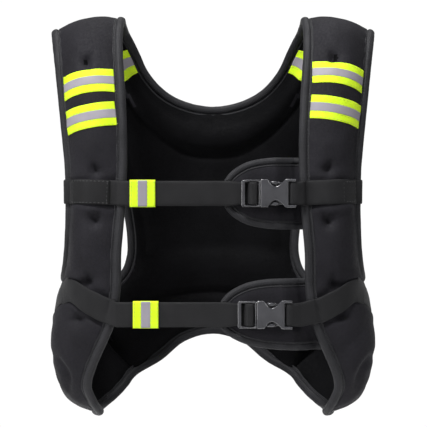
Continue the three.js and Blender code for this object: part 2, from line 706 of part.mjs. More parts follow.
// Height of the binding's face over its middle, by how far in from the edge
function bindingHeight(inside) {
  const crown = BINDING_SECTION[1];
  const [from, to] = inside < crown.in * BINDING_WIDTH ? [BINDING_SECTION[2], crown] : [crown, BINDING_SECTION[0]];
  const share = (inside / BINDING_WIDTH - from.in) / (to.in - from.in);
  return mix(from.out, to.out, clamp(share, 0, 1)) * BINDING_THICK;
}

// A point on what covers a panel: its padding, or past 0 and 1 its armhole binding and its rim binding
function coverSkin(t, f, side, lift) {
  if (f >= 0 && f <= 1) return panelSkin(t, f, side, 1, lift);
  const frames = f < 0 ? armFrames : rimFrames;
  const inside = clamp(f < 0 ? 1 + f : 2 - f, 0, 1) * INSET;
  const value = (key) => betweenStations(frames.map((frame) => frame[key]), t);
  return value("point")
    .addScaledVector(value("inner"), inside)
    .addScaledVector(value("normal"), bindingHeight(inside) + lift);
}

// One cross line of a ribbon on a panel, square to its run, and the way it faces
function ribbonLine(at, run, side, width, lift) {
  const [t, f] = [at.along, at.across];
  const here = coverSkin(t, f, side, lift);
  const perAlong = coverSkin(t + STEP, f, side, lift).sub(here).divideScalar(STEP);
  const inner = f > 0.5 ? f - STEP * 10 : f + STEP * 10;
  const perAcross = coverSkin(t, inner, side, lift).sub(here).divideScalar(inner - f);
  const facing = perAcross.clone().cross(perAlong).normalize();
  const run3 = perAlong.clone().multiplyScalar(run.along).addScaledVector(perAcross, run.across);
  const square = run3.cross(facing).setLength(width / 2);
  const [aa, ab, bb] = [perAlong.lengthSq(), perAlong.dot(perAcross), perAcross.lengthSq()];
  const [sa, sb] = [square.dot(perAlong), square.dot(perAcross)];
  const det = aa * bb - ab * ab;
  const [da, db] = [(sa * bb - sb * ab) / det, (sb * aa - sa * ab) / det];
  const onBinding = f < 0 || f > 1;
  const lengthwise = Math.abs(run.along) * Math.sqrt(aa) > 2 * Math.abs(run.across) * Math.sqrt(bb);
  let [shiftAlong, shiftAcross] = [da, db];
  if (onBinding) [shiftAlong, shiftAcross] = [(Math.sign(da) * width) / 2 / Math.sqrt(aa), 0];
  if (lengthwise) [shiftAlong, shiftAcross] = [0, (width / 2) ** 2 / sb];
  const line = [1, 0, -1].map((k) => coverSkin(t + k * shiftAlong, f + k * shiftAcross, side, lift));
  return { line, facing };
}

const ribbonRing = ({ line, facing }, thick) => [
  ...line.map((point) => point.clone().addScaledVector(facing, thick)),
  ...line.slice().reverse(),
];

// Cross lines along a path over a panel, on the side given
function ribbonOnPanel(path, side, width, lift) {
  return path.map((at, i) => {
    const ahead = path[Math.min(i + 1, path.length - 1)];
    const behind = path[Math.max(i - 1, 0)];
    const run = { along: ahead.along - behind.along, across: ahead.across - behind.across };
    const { line, facing } = ribbonLine(at, run, side, width, lift);
    return { line: line.map((point) => mirrored(point, side)), facing: mirrored(facing, side) };
  });
}

// Where the front rim is at a height
function rimAt(z) {
  const low = rimFrames.findIndex(({ point }, i) => i > STATIONS * 0.2 && point.z < z);
  const [a, b] = [rimFrames[low - 1], rimFrames[low]];
  const share = (z - a.point.z) / (b.point.z - a.point.z);
  const rearOf = (frame) => Math.max(...bindingRing(frame).map(({ y }) => y));
  const { x, y } = a.point.clone().lerp(b.point, share);
  return { x, y, rear: mix(rearOf(a), rearOf(b), share) };
}

// A ribbon bent in plan, upright in height: points are its middle line in x and y with the height of its band
function bentRibbon(points, z, thick) {
  return points.map(({ x, y, width }, i) => {
    const ahead = points[Math.min(i + 1, points.length - 1)];
    const behind = points[Math.max(i - 1, 0)];
    const before = new THREE.Vector2(x - behind.x, y - behind.y).normalize();
    const after = new THREE.Vector2(ahead.x - x, ahead.y - y).normalize();
    const run = before.clone().add(after).normalize();
    const stretch = 1 / Math.max(0.75, Math.abs(run.dot(i ? before : after)));
    const facing = new THREE.Vector3(run.y, -run.x, 0).multiplyScalar(stretch);
    const middle = new THREE.Vector3(x, y, z).addScaledVector(facing, -thick / 2);
    const line = [1, 0, -1].map((k) => middle.clone().setZ(z + (k * width) / 2));
    return { line, facing };
  });
}

// The waist strap's run over the wing, with a cross line at each station of the padding under it
function wingPath() {
  const [last] = WAIST_WING_PATH;
  const first = WAIST_WING_PATH[WAIST_WING_PATH.length - 1];
  const stations = stationShares.filter((t) => t < last.along && t > first.along).reverse();
  return [last.along, ...stations, first.along].map((along) => {
    const row = WAIST_WING_PATH.findIndex((stop, i) => i > 0 && stop.along <= along);
    const [from, to] = [WAIST_WING_PATH[row - 1], WAIST_WING_PATH[row]];
    return { along, across: mix(from.across, to.across, (from.along - along) / (from.along - to.along)) };
  });
}

const WAIST_PATH = [...wingPath(), ...WAIST_FRONT_PATH];

// The two straps, each with its height, the place of its buckle and how it lies on the panels
const STRAPS = [
  { name: "chest", z: -CHEST_DROP, buckleX: CHEST_BUCKLE_X, tabFromRim: CHEST_TAB_FROM_RIM, path: CHEST_PATH },
  { name: "waist", z: -WAIST_DROP, buckleX: WAIST_BUCKLE_X, tabFromRim: WAIST_TAB_FROM_RIM, path: WAIST_PATH },
].map((strap) => {
  const ahead = BINDING_THICK / 2 + STRAP_CLEAR + WEBBING_THICK / 2 + STRAP_AHEAD;
  const y = rimAt(strap.z).y - ahead;
  const tabX = -rimAt(strap.z).x + strap.tabFromRim + TAB_LENGTH / 2;
  return { ...strap, y, tabX, buckleY: y - WEBBING_THICK / 2 - GAP - FRAME_THICK / 2 };
});

// How a strap end loops round a bar of its buckle half: out along the front, back behind
function loopRound(barLeft, barRight, barThick, strap, towards) {
  const reach = barThick / 2 + BAR_CLEAR + WEBBING_THICK / 2;
  const [near, far] = towards > 0 ? [barLeft, barRight] : [barRight, barLeft];
  const past = far + towards * (BAR_CLEAR + WEBBING_THICK / 2);
  const front = strap.buckleY - reach;
  const back = strap.buckleY + reach;
  return { near, far, past, front, back };
}

function longStrap(strap) {
  const on = ribbonOnPanel(strap.path, -1, WEBBING_WIDTH, STRAP_CLEAR);
  const x0 = strap.buckleX;
  const band = (x, y, width = LOOP_WIDTH) => ({ x: x0 + x, y, width });
  const barLeft = BAR_WIDTH + SLOT_WIDTH;
  const loop = loopRound(barLeft, barLeft + CROSSBAR_WIDTH, CROSSBAR_THICK, strap, 1);
  const tail = strap.y + WEBBING_THICK + GAP;
  const rim = on[on.length - 1].line[1];
  const free = [
    { x: rim.x + BINDING_WIDTH / 2, y: strap.y, width: WEBBING_WIDTH },
    band(-TUCK_LEAD - TUCK_RUN, strap.y, WEBBING_WIDTH),
    band(-TUCK_LEAD, strap.y),
    band(BAR_WIDTH + 0.9, strap.y),
    band(loop.near - 0.9, loop.front + 0.6),
    band(loop.near + 0.8, loop.front),
    band(loop.far + 0.3, loop.front),
    band(loop.past, loop.front + 1.5),
    band(loop.past, tail - 1.6),
    band(loop.past - 1.7, tail),
    band(-TUCK_LEAD, tail),
    band(-TAIL_LENGTH, tail),
  ];
  return loft([...on, ...bentRibbon(free, strap.z, WEBBING_THICK)].map((line) => ribbonRing(line, WEBBING_THICK)));
}

function shortStrap(strap) {
  const on = ribbonOnPanel(strap.path, 1, WEBBING_WIDTH, STRAP_CLEAR);
  const x0 = strap.buckleX;
  const band = (x, y, width = LOOP_WIDTH) => ({ x: x0 + x, y, width });
  const loop = loopRound(BUCKLE_LENGTH - FLANGE_BAR, BUCKLE_LENGTH - 1, FLANGE_THICK, strap, -1);
  const free = [
    band(BUCKLE_LENGTH + 0.6, loop.front + 0.7),
    band(loop.near - 0.6, loop.front),
    band(loop.far - 0.2, loop.front),
    band(loop.past, loop.front + 1.4),
    band(loop.past, loop.back - 1.4),
    band(loop.far - 0.2, loop.back),
    band(BUCKLE_LENGTH + 1.2, loop.back),
  ];
  const turned = bentRibbon(free.reverse(), strap.z, WEBBING_THICK).reverse();
  const rings = [...on, ...turned].map((line) => ribbonRing(line, WEBBING_THICK));
  return loft(rings);
}

addPiece("front_panel_right", frontPanel(1), "neoprene");
addPiece("front_panel_left", frontPanel(-1), "neoprene");
addPiece("back_panel", backPanel(), "neoprene");
addPiece("edge_binding", edgeBinding(), "binding");
addPiece("armhole_binding_right", armholeBinding(1), "binding");
addPiece("armhole_binding_left", armholeBinding(-1), "binding");

// A tape laid over a panel from the armhole to the rim, cross lines at the padding's own columns
function tapeOver(side, armAlong, rimAlong, width, thick, lift) {
  const path = COLUMNS.map((across) => ({ along: mix(armAlong, rimAlong, across), across: clamp(across, 0.004, 0.996) }));
  return loft(ribbonOnPanel(path, side, width, lift).map((line) => ribbonRing(line, thick)));
}

function shoulderTape({ name, side, rimAlong, armAlong }) {
  const silverLift = TAPE_CLEAR + TAPE_THICK + GAP;
  addPiece(name, tapeOver(side, armAlong, rimAlong, TAPE_WIDTH, TAPE_THICK, TAPE_CLEAR), "lime");
  const silver = tapeOver(side, armAlong, rimAlong, TAPE_WIDTH * SILVER_SHARE, SILVER_THICK, silverLift);
  addPiece(name + "_silver", silver, "silver");
}

// The hi-vis tape across the inner face of the back, just below a shoulder seam
function innerTape(side, name) {
  const columns = columnShares.map((_, column) => column);
  const [first, last] = [1, 3];
  const band = (from, to, thick, lift) =>
    loft(
      columns.map((column) => {
        const at = (share, extra) => {
          const row = mix(first, last, share);
          const low = Math.floor(row);
          const point = backSkin(low, column, -1, lift + extra);
          return mirrored(low < row ? point.lerp(backSkin(low + 1, column, -1, lift + extra), row - low) : point, side);
        };
        const shares = thick === SILVER_THICK ? [from, to] : [from, (from + to) / 2, to];
        return [...shares.map((share) => at(share, thick)), ...shares.reverse().map((share) => at(share, 0))];
      }),
    );
  addPiece(name, band(0, 1, TAPE_THICK, TAPE_CLEAR), "lime");
  const half = SILVER_SHARE / 2;
  addPiece(name + "_silver", band(0.5 - half, 0.5 + half, SILVER_THICK, TAPE_CLEAR + TAPE_THICK + GAP), "silver");
}

// A block of flat faces between two corners
function block(from, to) {
  const box = new THREE.Box3().setFromPoints([from, to]);
  const size = box.getSize(new THREE.Vector3());
  const middle = box.getCenter(new THREE.Vector3());
  return new THREE.BoxGeometry(size.x, size.y, size.z).translate(middle.x, middle.y, middle.z);
}

// A sleeve of hi-vis tape round a strap, with its silver strip across the front
function strapTab(strap) {
  const inner = new THREE.Vector2(WEBBING_THICK / 2 + GAP, WEBBING_WIDTH / 2 + GAP);
  const outer = inner.clone().addScalar(TAPE_THICK);
  const outline = (half) => [[-half.x, -half.y], [half.x, -half.y], [half.x, half.y], [-half.x, half.y]].map(
    ([a, b]) => new THREE.Vector2(a, b),
  );
  const shape = new THREE.Shape(outline(outer));
  shape.holes.push(new THREE.Path(outline(inner).reverse()));
  const sleeve = new THREE.ExtrudeGeometry(shape, { depth: TAB_LENGTH, bevelEnabled: false });
  sleeve.rotateX(Math.PI / 2).rotateZ(Math.PI / 2).translate(strap.tabX - TAB_LENGTH / 2, strap.y, strap.z);
  addPiece(strap.name + "_strap_tab", sleeve, "lime");
  const face = strap.y - outer.x - GAP;
  const half = new THREE.Vector3((TAB_LENGTH * SILVER_SHARE) / 2, SILVER_THICK / 2, outer.y - GAP);
  const middle = new THREE.Vector3(strap.tabX, face - SILVER_THICK / 2, strap.z);
  addPiece(strap.name + "_strap_tab_silver", block(middle.clone().sub(half), middle.clone().add(half)), "silver");
}

// The bare woven label on the chest strap
function strapLabel() {
  const path = COLUMNS.filter((f) => f > 0 && f < 1).map((across) => ({ along: CHEST_PATH[0].along, across }));
  const lift = STRAP_CLEAR + WEBBING_THICK + GAP;
  const lines = ribbonOnPanel(path, -1, WEBBING_WIDTH - 2 * GAP, lift);
  addPiece("strap_label", loft(lines.map((line) => ribbonRing(line, LABEL_THICK))), "label");
}

// Outline of a buckle guard from its fixed end, over the top, round the tip and back: along its length, and rise
// above the strap's middle as a share of half its height
const GUARD_OUTLINE = [
  { along: 0, rise: 1 },
  { along: 0.24, rise: 1 },
  { along: 0.47, rise: 0.98 },
  { along: 0.69, rise: 0.89 },
  { along: 0.84, rise: 0.735 },
  { along: 0.94, rise: 0.56 },
  { along: 1, rise: 0.38 },
];
const GUARD_SAMPLES = 11;
const GUARD_SECTIONS = [-1, -0.6, 0, 0.6, 1];

// The guard runs flat behind the buckle and steps back under the rim, where it is sewn
function guardPlace(strap, x, z) {
  const rim = rimAt(z);
  const fixed = rim.rear + GUARD_BINDING_THICK / 2 + PAD_CLEAR;
  const flat = strap.y + WEBBING_THICK * 1.5 + GAP + GAP + GUARD_BINDING_THICK / 2;
  const share = smooth((rim.x - BINDING_WIDTH / 4 - x) / GUARD_STEP);
  return new THREE.Vector3(x, mix(fixed, flat, share), z);
}

function guardOutline(strap) {
  const curve = new THREE.CatmullRomCurve3(
    GUARD_OUTLINE.map(({ along, rise }) => new THREE.Vector3(along, 0, rise)),
    false,
    "centripetal",
  );
  const tip = strap.buckleX - GUARD_AHEAD;
  const top = samples(GUARD_SAMPLES).map((s) => {
    const { x: along, z: rise } = curve.getPointAt(s);
    const z = strap.z + (rise * GUARD_HEIGHT) / 2;
    return new THREE.Vector2(mix(rimAt(z).x + BINDING_WIDTH * GUARD_HOLD, tip, along), z);
  });
  const bottom = top.map(({ x, y }, i) => {
    const z = 2 * strap.z - y;
    const along = curve.getPointAt(i / GUARD_SAMPLES).x;
    return new THREE.Vector2(mix(rimAt(z).x + BINDING_WIDTH * GUARD_HOLD, tip, along), z);
  });
  return { top, bottom };
}

// Direction inwards from each point of an outline in the vest's front view
function inwards(line, sign) {
  return line.map((_, i) => {
    const ahead = line[Math.min(i + 1, line.length - 1)];
    const behind = line[Math.max(i - 1, 0)];
    const along = ahead.clone().sub(behind).normalize();
    return new THREE.Vector2(-along.y, along.x).multiplyScalar(sign);
  });
}

function guardPad(strap) {
  const { top, bottom } = guardOutline(strap);
  const inset = GUARD_BINDING + PAD_CLEAR;
  const round = [...top, ...bottom.slice().reverse()];
  const turn = inwards(round, 1);
  const inner = round.map((point, i) => point.clone().addScaledVector(turn[i], inset));
  const rings = [];
  for (let i = 0; i <= GUARD_SAMPLES - 1; i++) {
    const [high, low] = [inner[i], inner[inner.length - 1 - i]];
    const line = GUARD_SECTIONS.map((section) => {
      const down = (1 + section) / 2;
      const point = high.clone().lerp(low, down);
      const straight = mix(rimAt(high.y).x, rimAt(low.y).x, down);
      return point.setX(point.x + (rimAt(point.y).x - straight) * (1 - i / GUARD_SAMPLES));
    });
    const face = (way) =>
      line.map(({ x, y: z }, j) => {
        const edge = i === GUARD_SAMPLES - 1 || Math.abs(GUARD_SECTIONS[j]) === 1;
        const half = edge ? GUARD_BINDING_THICK * 0.35 : GUARD_THICK / 2;
        return guardPlace(strap, x, z).add(new THREE.Vector3(0, way * half, 0));
      });
    rings.push([...face(-1), ...face(1).reverse()]);
  }
  return loft(rings);
}

function guardBinding(strap) {
  const { top, bottom } = guardOutline(strap);
  const round = [...top, ...bottom.slice().reverse()];
  const turn = inwards(round, 1);
  const forward = new THREE.Vector3(0, -1, 0);
  return loft(
    round.map((point, i) =>
      BINDING_SECTION.map((corner) => {
        const at = point.clone().addScaledVector(turn[i], corner.in * GUARD_BINDING);
        return guardPlace(strap, at.x, at.y).addScaledVector(forward, corner.out * GUARD_BINDING_THICK);
      }),
    ),
  );
}

// Solids for cutting and joining
function solidOf(geometry) {
  const bare = geometry.clone();
  ["normal", "uv"].forEach((name) => bare.deleteAttribute(name));
  const merged = mergeVertices(bare, 1e-4);
  return new wasm.Manifold(
    new wasm.Mesh({
      numProp: 3,
      vertProperties: merged.attributes.position.array,
      triVerts: Uint32Array.from(merged.index.array),
    }),
  );
}

function geometryOf(solid) {
  const mesh = solid.getMesh();
  return new THREE.BufferGeometry()
    .setAttribute("position", new THREE.BufferAttribute(mesh.vertProperties, 3))
    .setIndex(new THREE.BufferAttribute(mesh.triVerts, 1));
}

// A plate seen from the front, from an outline in x and z, centred on its thickness, its front and back edges
// rounded by a bevel
function plate(outline, thick, bevel = 0) {
  const shape = outline instanceof THREE.Shape ? outline : new THREE.Shape(outline.map(([x, z]) => new THREE.Vector2(x, z)));
  const geometry = new THREE.ExtrudeGeometry(shape, {
    depth: thick - 2 * bevel,
    bevelEnabled: bevel > 0,
    bevelThickness: bevel,
    bevelSize: bevel,
    bevelOffset: -bevel,
    bevelSegments: 1,
    curveSegments: 4,
  });
  return solidOf(geometry.rotateX(Math.PI / 2).translate(0, thick / 2 - bevel, 0));
}

const rectangle = (left, right, low, high) => [[left, low], [right, low], [right, high], [left, high]];

// Buckle halves lie from x = 0 at the clip's frame to BUCKLE_LENGTH at the socket's flange
function buckleSocket() {
  const half = BUCKLE_HEIGHT / 2;
  const wide = half - SOCKET_INSET;
  const left = CLIP_FRAME_LENGTH;
  const bar = BUCKLE_LENGTH - FLANGE_BAR;
  const notchEnd = bar - FLANGE_SLOT - NOTCH_TO_SLOT;
  const notchMiddle = notchEnd - NOTCH_RISE;
  const notchStart = notchMiddle - NOTCH_ENTRY;
  const [before, after] = [notchMiddle - NOTCH_ENTRY * NOTCH_EASE, notchMiddle + NOTCH_RISE * NOTCH_EASE];
  const shape = new THREE.Shape();
  shape.moveTo(left, -wide);
  shape.lineTo(notchStart, -wide);
  shape.quadraticCurveTo(before, -NOTCH_APEX, notchMiddle, -NOTCH_APEX);
  shape.quadraticCurveTo(after, -NOTCH_APEX, notchEnd, -half);
  shape.lineTo(BUCKLE_LENGTH, -half);
  shape.lineTo(BUCKLE_LENGTH, half);
  shape.lineTo(notchEnd, half);
  shape.quadraticCurveTo(after, NOTCH_APEX, notchMiddle, NOTCH_APEX);
  shape.quadraticCurveTo(before, NOTCH_APEX, notchStart, wide);
  shape.lineTo(left, wide);
  const cavityHalf = BUCKLE_THICK / 2 - BUCKLE_WALL;
  const cavity = block(
    new THREE.Vector3(left - 1, -cavityHalf, -CAVITY_HALF_HEIGHT),
    new THREE.Vector3(bar - FLANGE_SLOT - BUCKLE_WALL, cavityHalf, CAVITY_HALF_HEIGHT),
  );
  const slotHalf = LOOP_WIDTH / 2 + BAR_CLEAR;
  const webbingRoom = [-1, 1].map((way) =>
    solidOf(
      block(
        new THREE.Vector3(bar - FLANGE_SLOT, (way * FLANGE_THICK) / 2, -slotHalf),
        new THREE.Vector3(BUCKLE_LENGTH + 1, way * BUCKLE_THICK, slotHalf),
      ),
    ),
  );
  const beyond = block(
    new THREE.Vector3(BUCKLE_LENGTH - 1, -BUCKLE_THICK, -slotHalf),
    new THREE.Vector3(BUCKLE_LENGTH + 1, BUCKLE_THICK, slotHalf),
  );
  const slot = plate(rectangle(bar - FLANGE_SLOT, bar, -slotHalf, slotHalf), BUCKLE_THICK * 2);
  let solid = plate(shape, BUCKLE_THICK, 1).subtract(solidOf(cavity)).subtract(slot).subtract(solidOf(beyond));
  webbingRoom.forEach((room) => (solid = solid.subtract(room)));
  return solid;
}

// The clip: a frame with its crossbar, a tongue in the socket's mouth and two sprung arms that show in the notches
function buckleClip() {
  const half = BUCKLE_HEIGHT / 2 - CLIP_INSET;
  const slotHalf = half - RAIL_WIDTH;
  const crossbar = BAR_WIDTH + SLOT_WIDTH;
  const tongueStart = CLIP_FRAME_LENGTH + MOUTH_CLEAR;
  const insideHalf = CAVITY_HALF_HEIGHT - MOUTH_CLEAR;
  const frame = plate(rectangle(0, CLIP_FRAME_LENGTH - MOUTH_CLEAR, -half, half), FRAME_THICK, 0.6);
  const firstSlot = plate(rectangle(BAR_WIDTH, crossbar, -slotHalf, slotHalf), BUCKLE_THICK);
  const secondSlot = plate(
    rectangle(crossbar + CROSSBAR_WIDTH, crossbar + CROSSBAR_WIDTH + CLIP_SLOT, -slotHalf, slotHalf),
    BUCKLE_THICK,
  );
  const thinning = [-1, 1].map((way) =>
    solidOf(
      block(
        new THREE.Vector3(BAR_WIDTH, (way * CROSSBAR_THICK) / 2, -slotHalf),
        new THREE.Vector3(crossbar + CROSSBAR_WIDTH + CLIP_SLOT, way * BUCKLE_THICK, slotHalf),
      ),
    ),
  );
  const tongue = plate(rectangle(CLIP_FRAME_LENGTH - 2 * MOUTH_CLEAR, tongueStart + TONGUE_LENGTH, -insideHalf, insideHalf), ARM_THICK);
  const guide = plate(rectangle(tongueStart, tongueStart + ARM_LENGTH * 0.8, -1.5, 1.5), ARM_THICK);
  const arms = [-1, 1].map((way) => {
    const shape = new THREE.Shape();
    const [root, bulge, end] = [tongueStart + 1, tongueStart + ARM_LENGTH * 0.55, tongueStart + ARM_LENGTH];
    const high = insideHalf;
    shape.moveTo(root, way * (high - 5));
    shape.quadraticCurveTo(bulge - 5, way * (high - ARM_WIDTH), bulge, way * (high - ARM_WIDTH));
    shape.lineTo(end, way * (high - ARM_WIDTH));
    shape.lineTo(end, way * (high - 1));
    shape.lineTo(bulge, way * high);
    shape.quadraticCurveTo(bulge - 5, way * high, root, way * (high - 2));
    return plate(shape, ARM_THICK);
  });
  let solid = frame.subtract(firstSlot).subtract(secondSlot);
  thinning.forEach((room) => (solid = solid.subtract(room)));
  return [tongue, guide, ...arms].reduce((sum, piece) => sum.add(piece), solid);
}

function buckle(strap) {
  const parts = { socket: buckleSocket(), clip: buckleClip() };
  for (const [name, solid] of Object.entries(parts)) {
    const mesh = addPiece(strap.name + "_" + name, geometryOf(solid), "plastic");
    mesh.position.set(strap.buckleX, strap.buckleY, strap.z);
  }
}

for (const strap of STRAPS) {
  buckle(strap);
  addPiece(strap.name + "_guard", guardPad(strap), "neoprene");
  addPiece(strap.name + "_guard_binding", guardBinding(strap), "binding");
  addPiece(strap.name + "_strap_long", longStrap(strap), "webbing");
  addPiece(strap.name + "_strap_short", shortStrap(strap), "webbing");
  strapTab(strap);
}
SHOULDER_TAPES.forEach(shoulderTape);
innerTape(1, "inner_tape_right");
innerTape(-1, "inner_tape_left");
strapLabel();

export default vest;
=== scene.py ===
"""A padded training vest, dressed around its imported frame.

Lengths are in millimetres and the tables hold shares of the vest's named sizes, as its solids do. Meshes are
written in metres, each where it belongs in the frame, with its object at the origin.
"""

from __future__ import annotations

import logging
import math
from dataclasses import dataclass
from enum import Enum
from typing import Callable, Iterable, Sequence

import bpy
import numpy as np
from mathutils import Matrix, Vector

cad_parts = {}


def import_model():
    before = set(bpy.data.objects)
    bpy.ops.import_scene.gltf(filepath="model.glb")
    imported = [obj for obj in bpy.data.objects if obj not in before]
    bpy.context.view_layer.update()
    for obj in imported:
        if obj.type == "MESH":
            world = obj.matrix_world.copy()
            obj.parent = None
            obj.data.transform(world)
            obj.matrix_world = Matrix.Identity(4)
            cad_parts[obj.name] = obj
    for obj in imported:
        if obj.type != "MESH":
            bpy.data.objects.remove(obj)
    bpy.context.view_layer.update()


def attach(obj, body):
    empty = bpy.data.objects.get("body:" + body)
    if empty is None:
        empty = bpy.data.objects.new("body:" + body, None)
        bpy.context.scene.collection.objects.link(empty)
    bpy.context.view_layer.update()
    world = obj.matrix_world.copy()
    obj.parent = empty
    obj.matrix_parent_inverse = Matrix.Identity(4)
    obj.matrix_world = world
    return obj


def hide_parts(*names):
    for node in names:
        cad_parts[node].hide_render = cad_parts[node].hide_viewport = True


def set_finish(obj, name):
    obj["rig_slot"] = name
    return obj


log = logging.getLogger("vest")

MM = 0.001
STEP = 1e-3
STATIONS = 42
BACK_ROWS = 19
NECK_SHARE = 0.46
SEAM_SHARE = 0.58
HEM_COLUMNS = 3
TAUT_PASSES = 60
CURVE_STEPS = 200
TAUT_STRAP_PASSES = 3
PRESSED_IN = 1.6
PRESS_REACH = 16.0
PATH_STEP = 2.5
BINDING_STEPS = 5
# How far a tape lies off the panel and off the back, in millimetres
TAPE_OFF_PANEL, TAPE_OFF_BACK = 0.2, 0.15
EDGE_LINE_STEPS = 60
TAUT_FROM = 0.3
TAUT_TO = 0.8
NORMAL_BLEND = 0.15
COLUMNS = np.array([0, 0.07, 0.2, 0.4, 0.6, 0.8, 0.93, 1])
MIRROR = np.array([-1.0, 1.0, 1.0])
# Where a ribbon's strands lie, from 1 at one edge to -1 at the other, closer together at the edges
STRANDS = np.sin(np.linspace(np.pi / 2, -np.pi / 2, 13))

# Sections of a front panel, from the back shoulder seam over the shoulder, down the front and round the side:
# armhole edge x, y, z, rim edge x, y, z, how far the middle bows out and how low its fullest place lies
PANEL_SECTIONS = (
    (1.0, 0.474, -0.059, 0.524, 0.474, -0.005, 0.03, 1),
    (1.0, 0.232, -0.027, 0.538, 0.232, 0.012, 0.03, 1),
    (1.0, 0.0, -0.017, 0.539, 0.0, 0.02, 0.03, 1),
    (0.989, -0.22, -0.03, 0.541, -0.25, 0.005, 0.04, 1),
    (0.971, -0.4, -0.069, 0.543, -0.48, -0.035, 0.05, 1),
    (0.951, -0.52, -0.123, 0.535, -0.66, -0.094, 0.06, 1),
    (0.929, -0.6, -0.193, 0.52, -0.8, -0.168, 0.06, 1),
    (0.906, -0.66, -0.277, 0.507, -0.9, -0.259, 0.06, 1),
    (0.884, -0.68, -0.365, 0.503, -0.96, -0.358, 0.06, 1),
    (0.878, -0.68, -0.457, 0.514, -1.0, -0.469, 0.06, 1),
    (0.88, -0.65, -0.528, 0.537, -1.01, -0.58, 0.07, 1),
    (0.888, -0.57, -0.575, 0.542, -0.99, -0.672, 0.08, 1.1),
    (0.9, -0.44, -0.607, 0.582, -0.96, -0.76, 0.1, 1.2),
    (0.912, -0.27, -0.627, 0.665, -0.9, -0.84, 0.14, 1.4),
    (0.918, -0.11, -0.637, 0.724, -0.81, -0.914, 0.175, 1.6),
    (0.915, 0.021, -0.644, 0.685, -0.69, -0.965, 0.205, 1.9),
    (0.906, 0.137, -0.651, 0.662, -0.47, -0.988, 0.215, 1.92),
    (0.894, 0.242, -0.658, 0.684, -0.2, -0.998, 0.215, 1.92),
    (0.882, 0.337, -0.664, 0.704, 0.105, -1.002, 0.215, 1.92),
    (0.871, 0.411, -0.669, 0.688, 0.463, -1.0, 0.2, 1.9),
    (0.865, 0.453, -0.672, 0.594, 0.716, -0.97, 0.18, 1.5),
    (0.859, 0.484, -0.674, 0.482, 0.842, -0.916, 0.17, 1.3),
)
# Edges of the right half of the back: x, y, z
NECKLINE = (
    (0.524, 0.474, -0.005),
    (0.476, 0.632, -0.042),
    (0.424, 0.758, -0.091),
    (0.359, 0.842, -0.128),
    (0.282, 0.9, -0.156),
    (0.188, 0.932, -0.175),
    (0.094, 0.953, -0.186),
    (0.0, 0.958, -0.19),
)
BACK_ARMHOLE = (
    (1.0, 0.474, -0.059),
    (0.941, 0.526, -0.104),
    (0.859, 0.632, -0.153),
    (0.765, 0.758, -0.227),
    (0.682, 0.853, -0.314),
    (0.624, 0.905, -0.395),
    (0.582, 0.937, -0.477),
    (0.559, 0.947, -0.548),
    (0.565, 0.947, -0.605),
    (0.618, 0.916, -0.649),
    (0.718, 0.821, -0.672),
    (0.794, 0.663, -0.677),
    (0.859, 0.484, -0.674),
)
BACK_MIDDLE = (
    (0.0, 0.958, -0.19),
    (0.0, 1.0, -0.395),
    (0.0, 1.0, -0.593),
    (0.0, 0.989, -0.81),
)
BACK_HEM = (
    (0.482, 0.842, -0.916),
    (0.4, 0.884, -0.909),
    (0.294, 0.926, -0.864),
    (0.159, 0.968, -0.825),
    (0.0, 0.989, -0.81),
)
# Where the filling is tacked down on the front panels: side, share of the length, share across, depth
DENTS = (
    (1, 0.237, 0.62, 2.5),
    (1, 0.388, 0.64, 2.5),
    (1, 0.447, 0.7, 3),
    (1, 0.529, 0.72, 3),
    (1, 0.581, 0.76, 3),
    (-1, 0.243, 0.52, 2.5),
    (-1, 0.39, 0.61, 2.5),
    (-1, 0.446, 0.65, 3),
    (-1, 0.528, 0.66, 3),
    (-1, 0.593, 0.72, 3),
)
# Tapes over the shoulders: name, side, middle line along the panel at the rim and at the armhole
SHOULDER_TAPES = (
    ("shoulder_tape_left_upper", -1, 0.275, 0.275),
    ("shoulder_tape_left_lower", -1, 0.32, 0.325),
    ("shoulder_tape_right_upper", 1, 0.262, 0.263),
    ("shoulder_tape_right_lower", 1, 0.311, 0.316),
)
# The waist strap on a panel: share of the length, share across
WAIST_WING_PATH = (
    (0.91, 0.21),
    (0.84, 0.19),
    (0.75, 0.18),
    (0.68, 0.195),
    (0.62, 0.25),
)
WAIST_FRONT_PATH = (
    (0.608, 0.262),
    (0.597, 0.282),
    (0.587, 0.31),
    (0.576, 0.35),
    (0.567, 0.41),
    (0.5595, 0.5),
    (0.557, 0.6),
    (0.556, 0.7),
    (0.555, 0.8),
    (0.5545, 0.93),
    (0.554, 1),
    (0.553, 1.5),
)
# Half outline of a buckle guard: share of its length, share of its half height
GUARD_OUTLINE = (
    (0, 1),
    (0.24, 1),
    (0.47, 0.98),
    (0.69, 0.89),
    (0.84, 0.735),
    (0.94, 0.56),
    (1, 0.38),
)




@dataclass(frozen=True)
class VestSizes:
    """Named sizes of the vest, in millimetres, as its solids have them."""

    half_width: float = 170.0
    front_reach: float = 100.0
    back_reach: float = 95.0
    body_length: float = 405.0
    pad_thick: float = 18.0
    pad_edge_thick: float = 6.4
    pad_seam_thick: float = 9.0
    pad_round: float = 24.0
    pad_bow: float = 100.0
    binding_width: float = 10.0
    binding_thick: float = 8.0
    pad_clear: float = 0.7
    webbing_width: float = 25.0
    webbing_thick: float = 1.6
    strap_clear: float = 0.95
    strap_ahead: float = 0.6
    tape_width: float = 24.7
    silver_share: float = 0.36
    gap: float = 0.4

    @property
    def inset(self) -> float:
        """How far in from the outline the padding starts."""
        return self.binding_width + self.pad_clear

    def place(self, rows: Sequence[Sequence[float]]) -> np.ndarray:
        """Places in the vest from shares of its sizes, ahead of and behind the shoulders.

        Args:
            rows: x, y and z shares, a row for each place.

        Returns:
            The places in millimetres.
        """
        x, y, z = np.array(rows, float).T
        reach = np.where(y < 0, self.front_reach, self.back_reach)
        return np.stack([x * self.half_width, y * reach, z * self.body_length], -1)


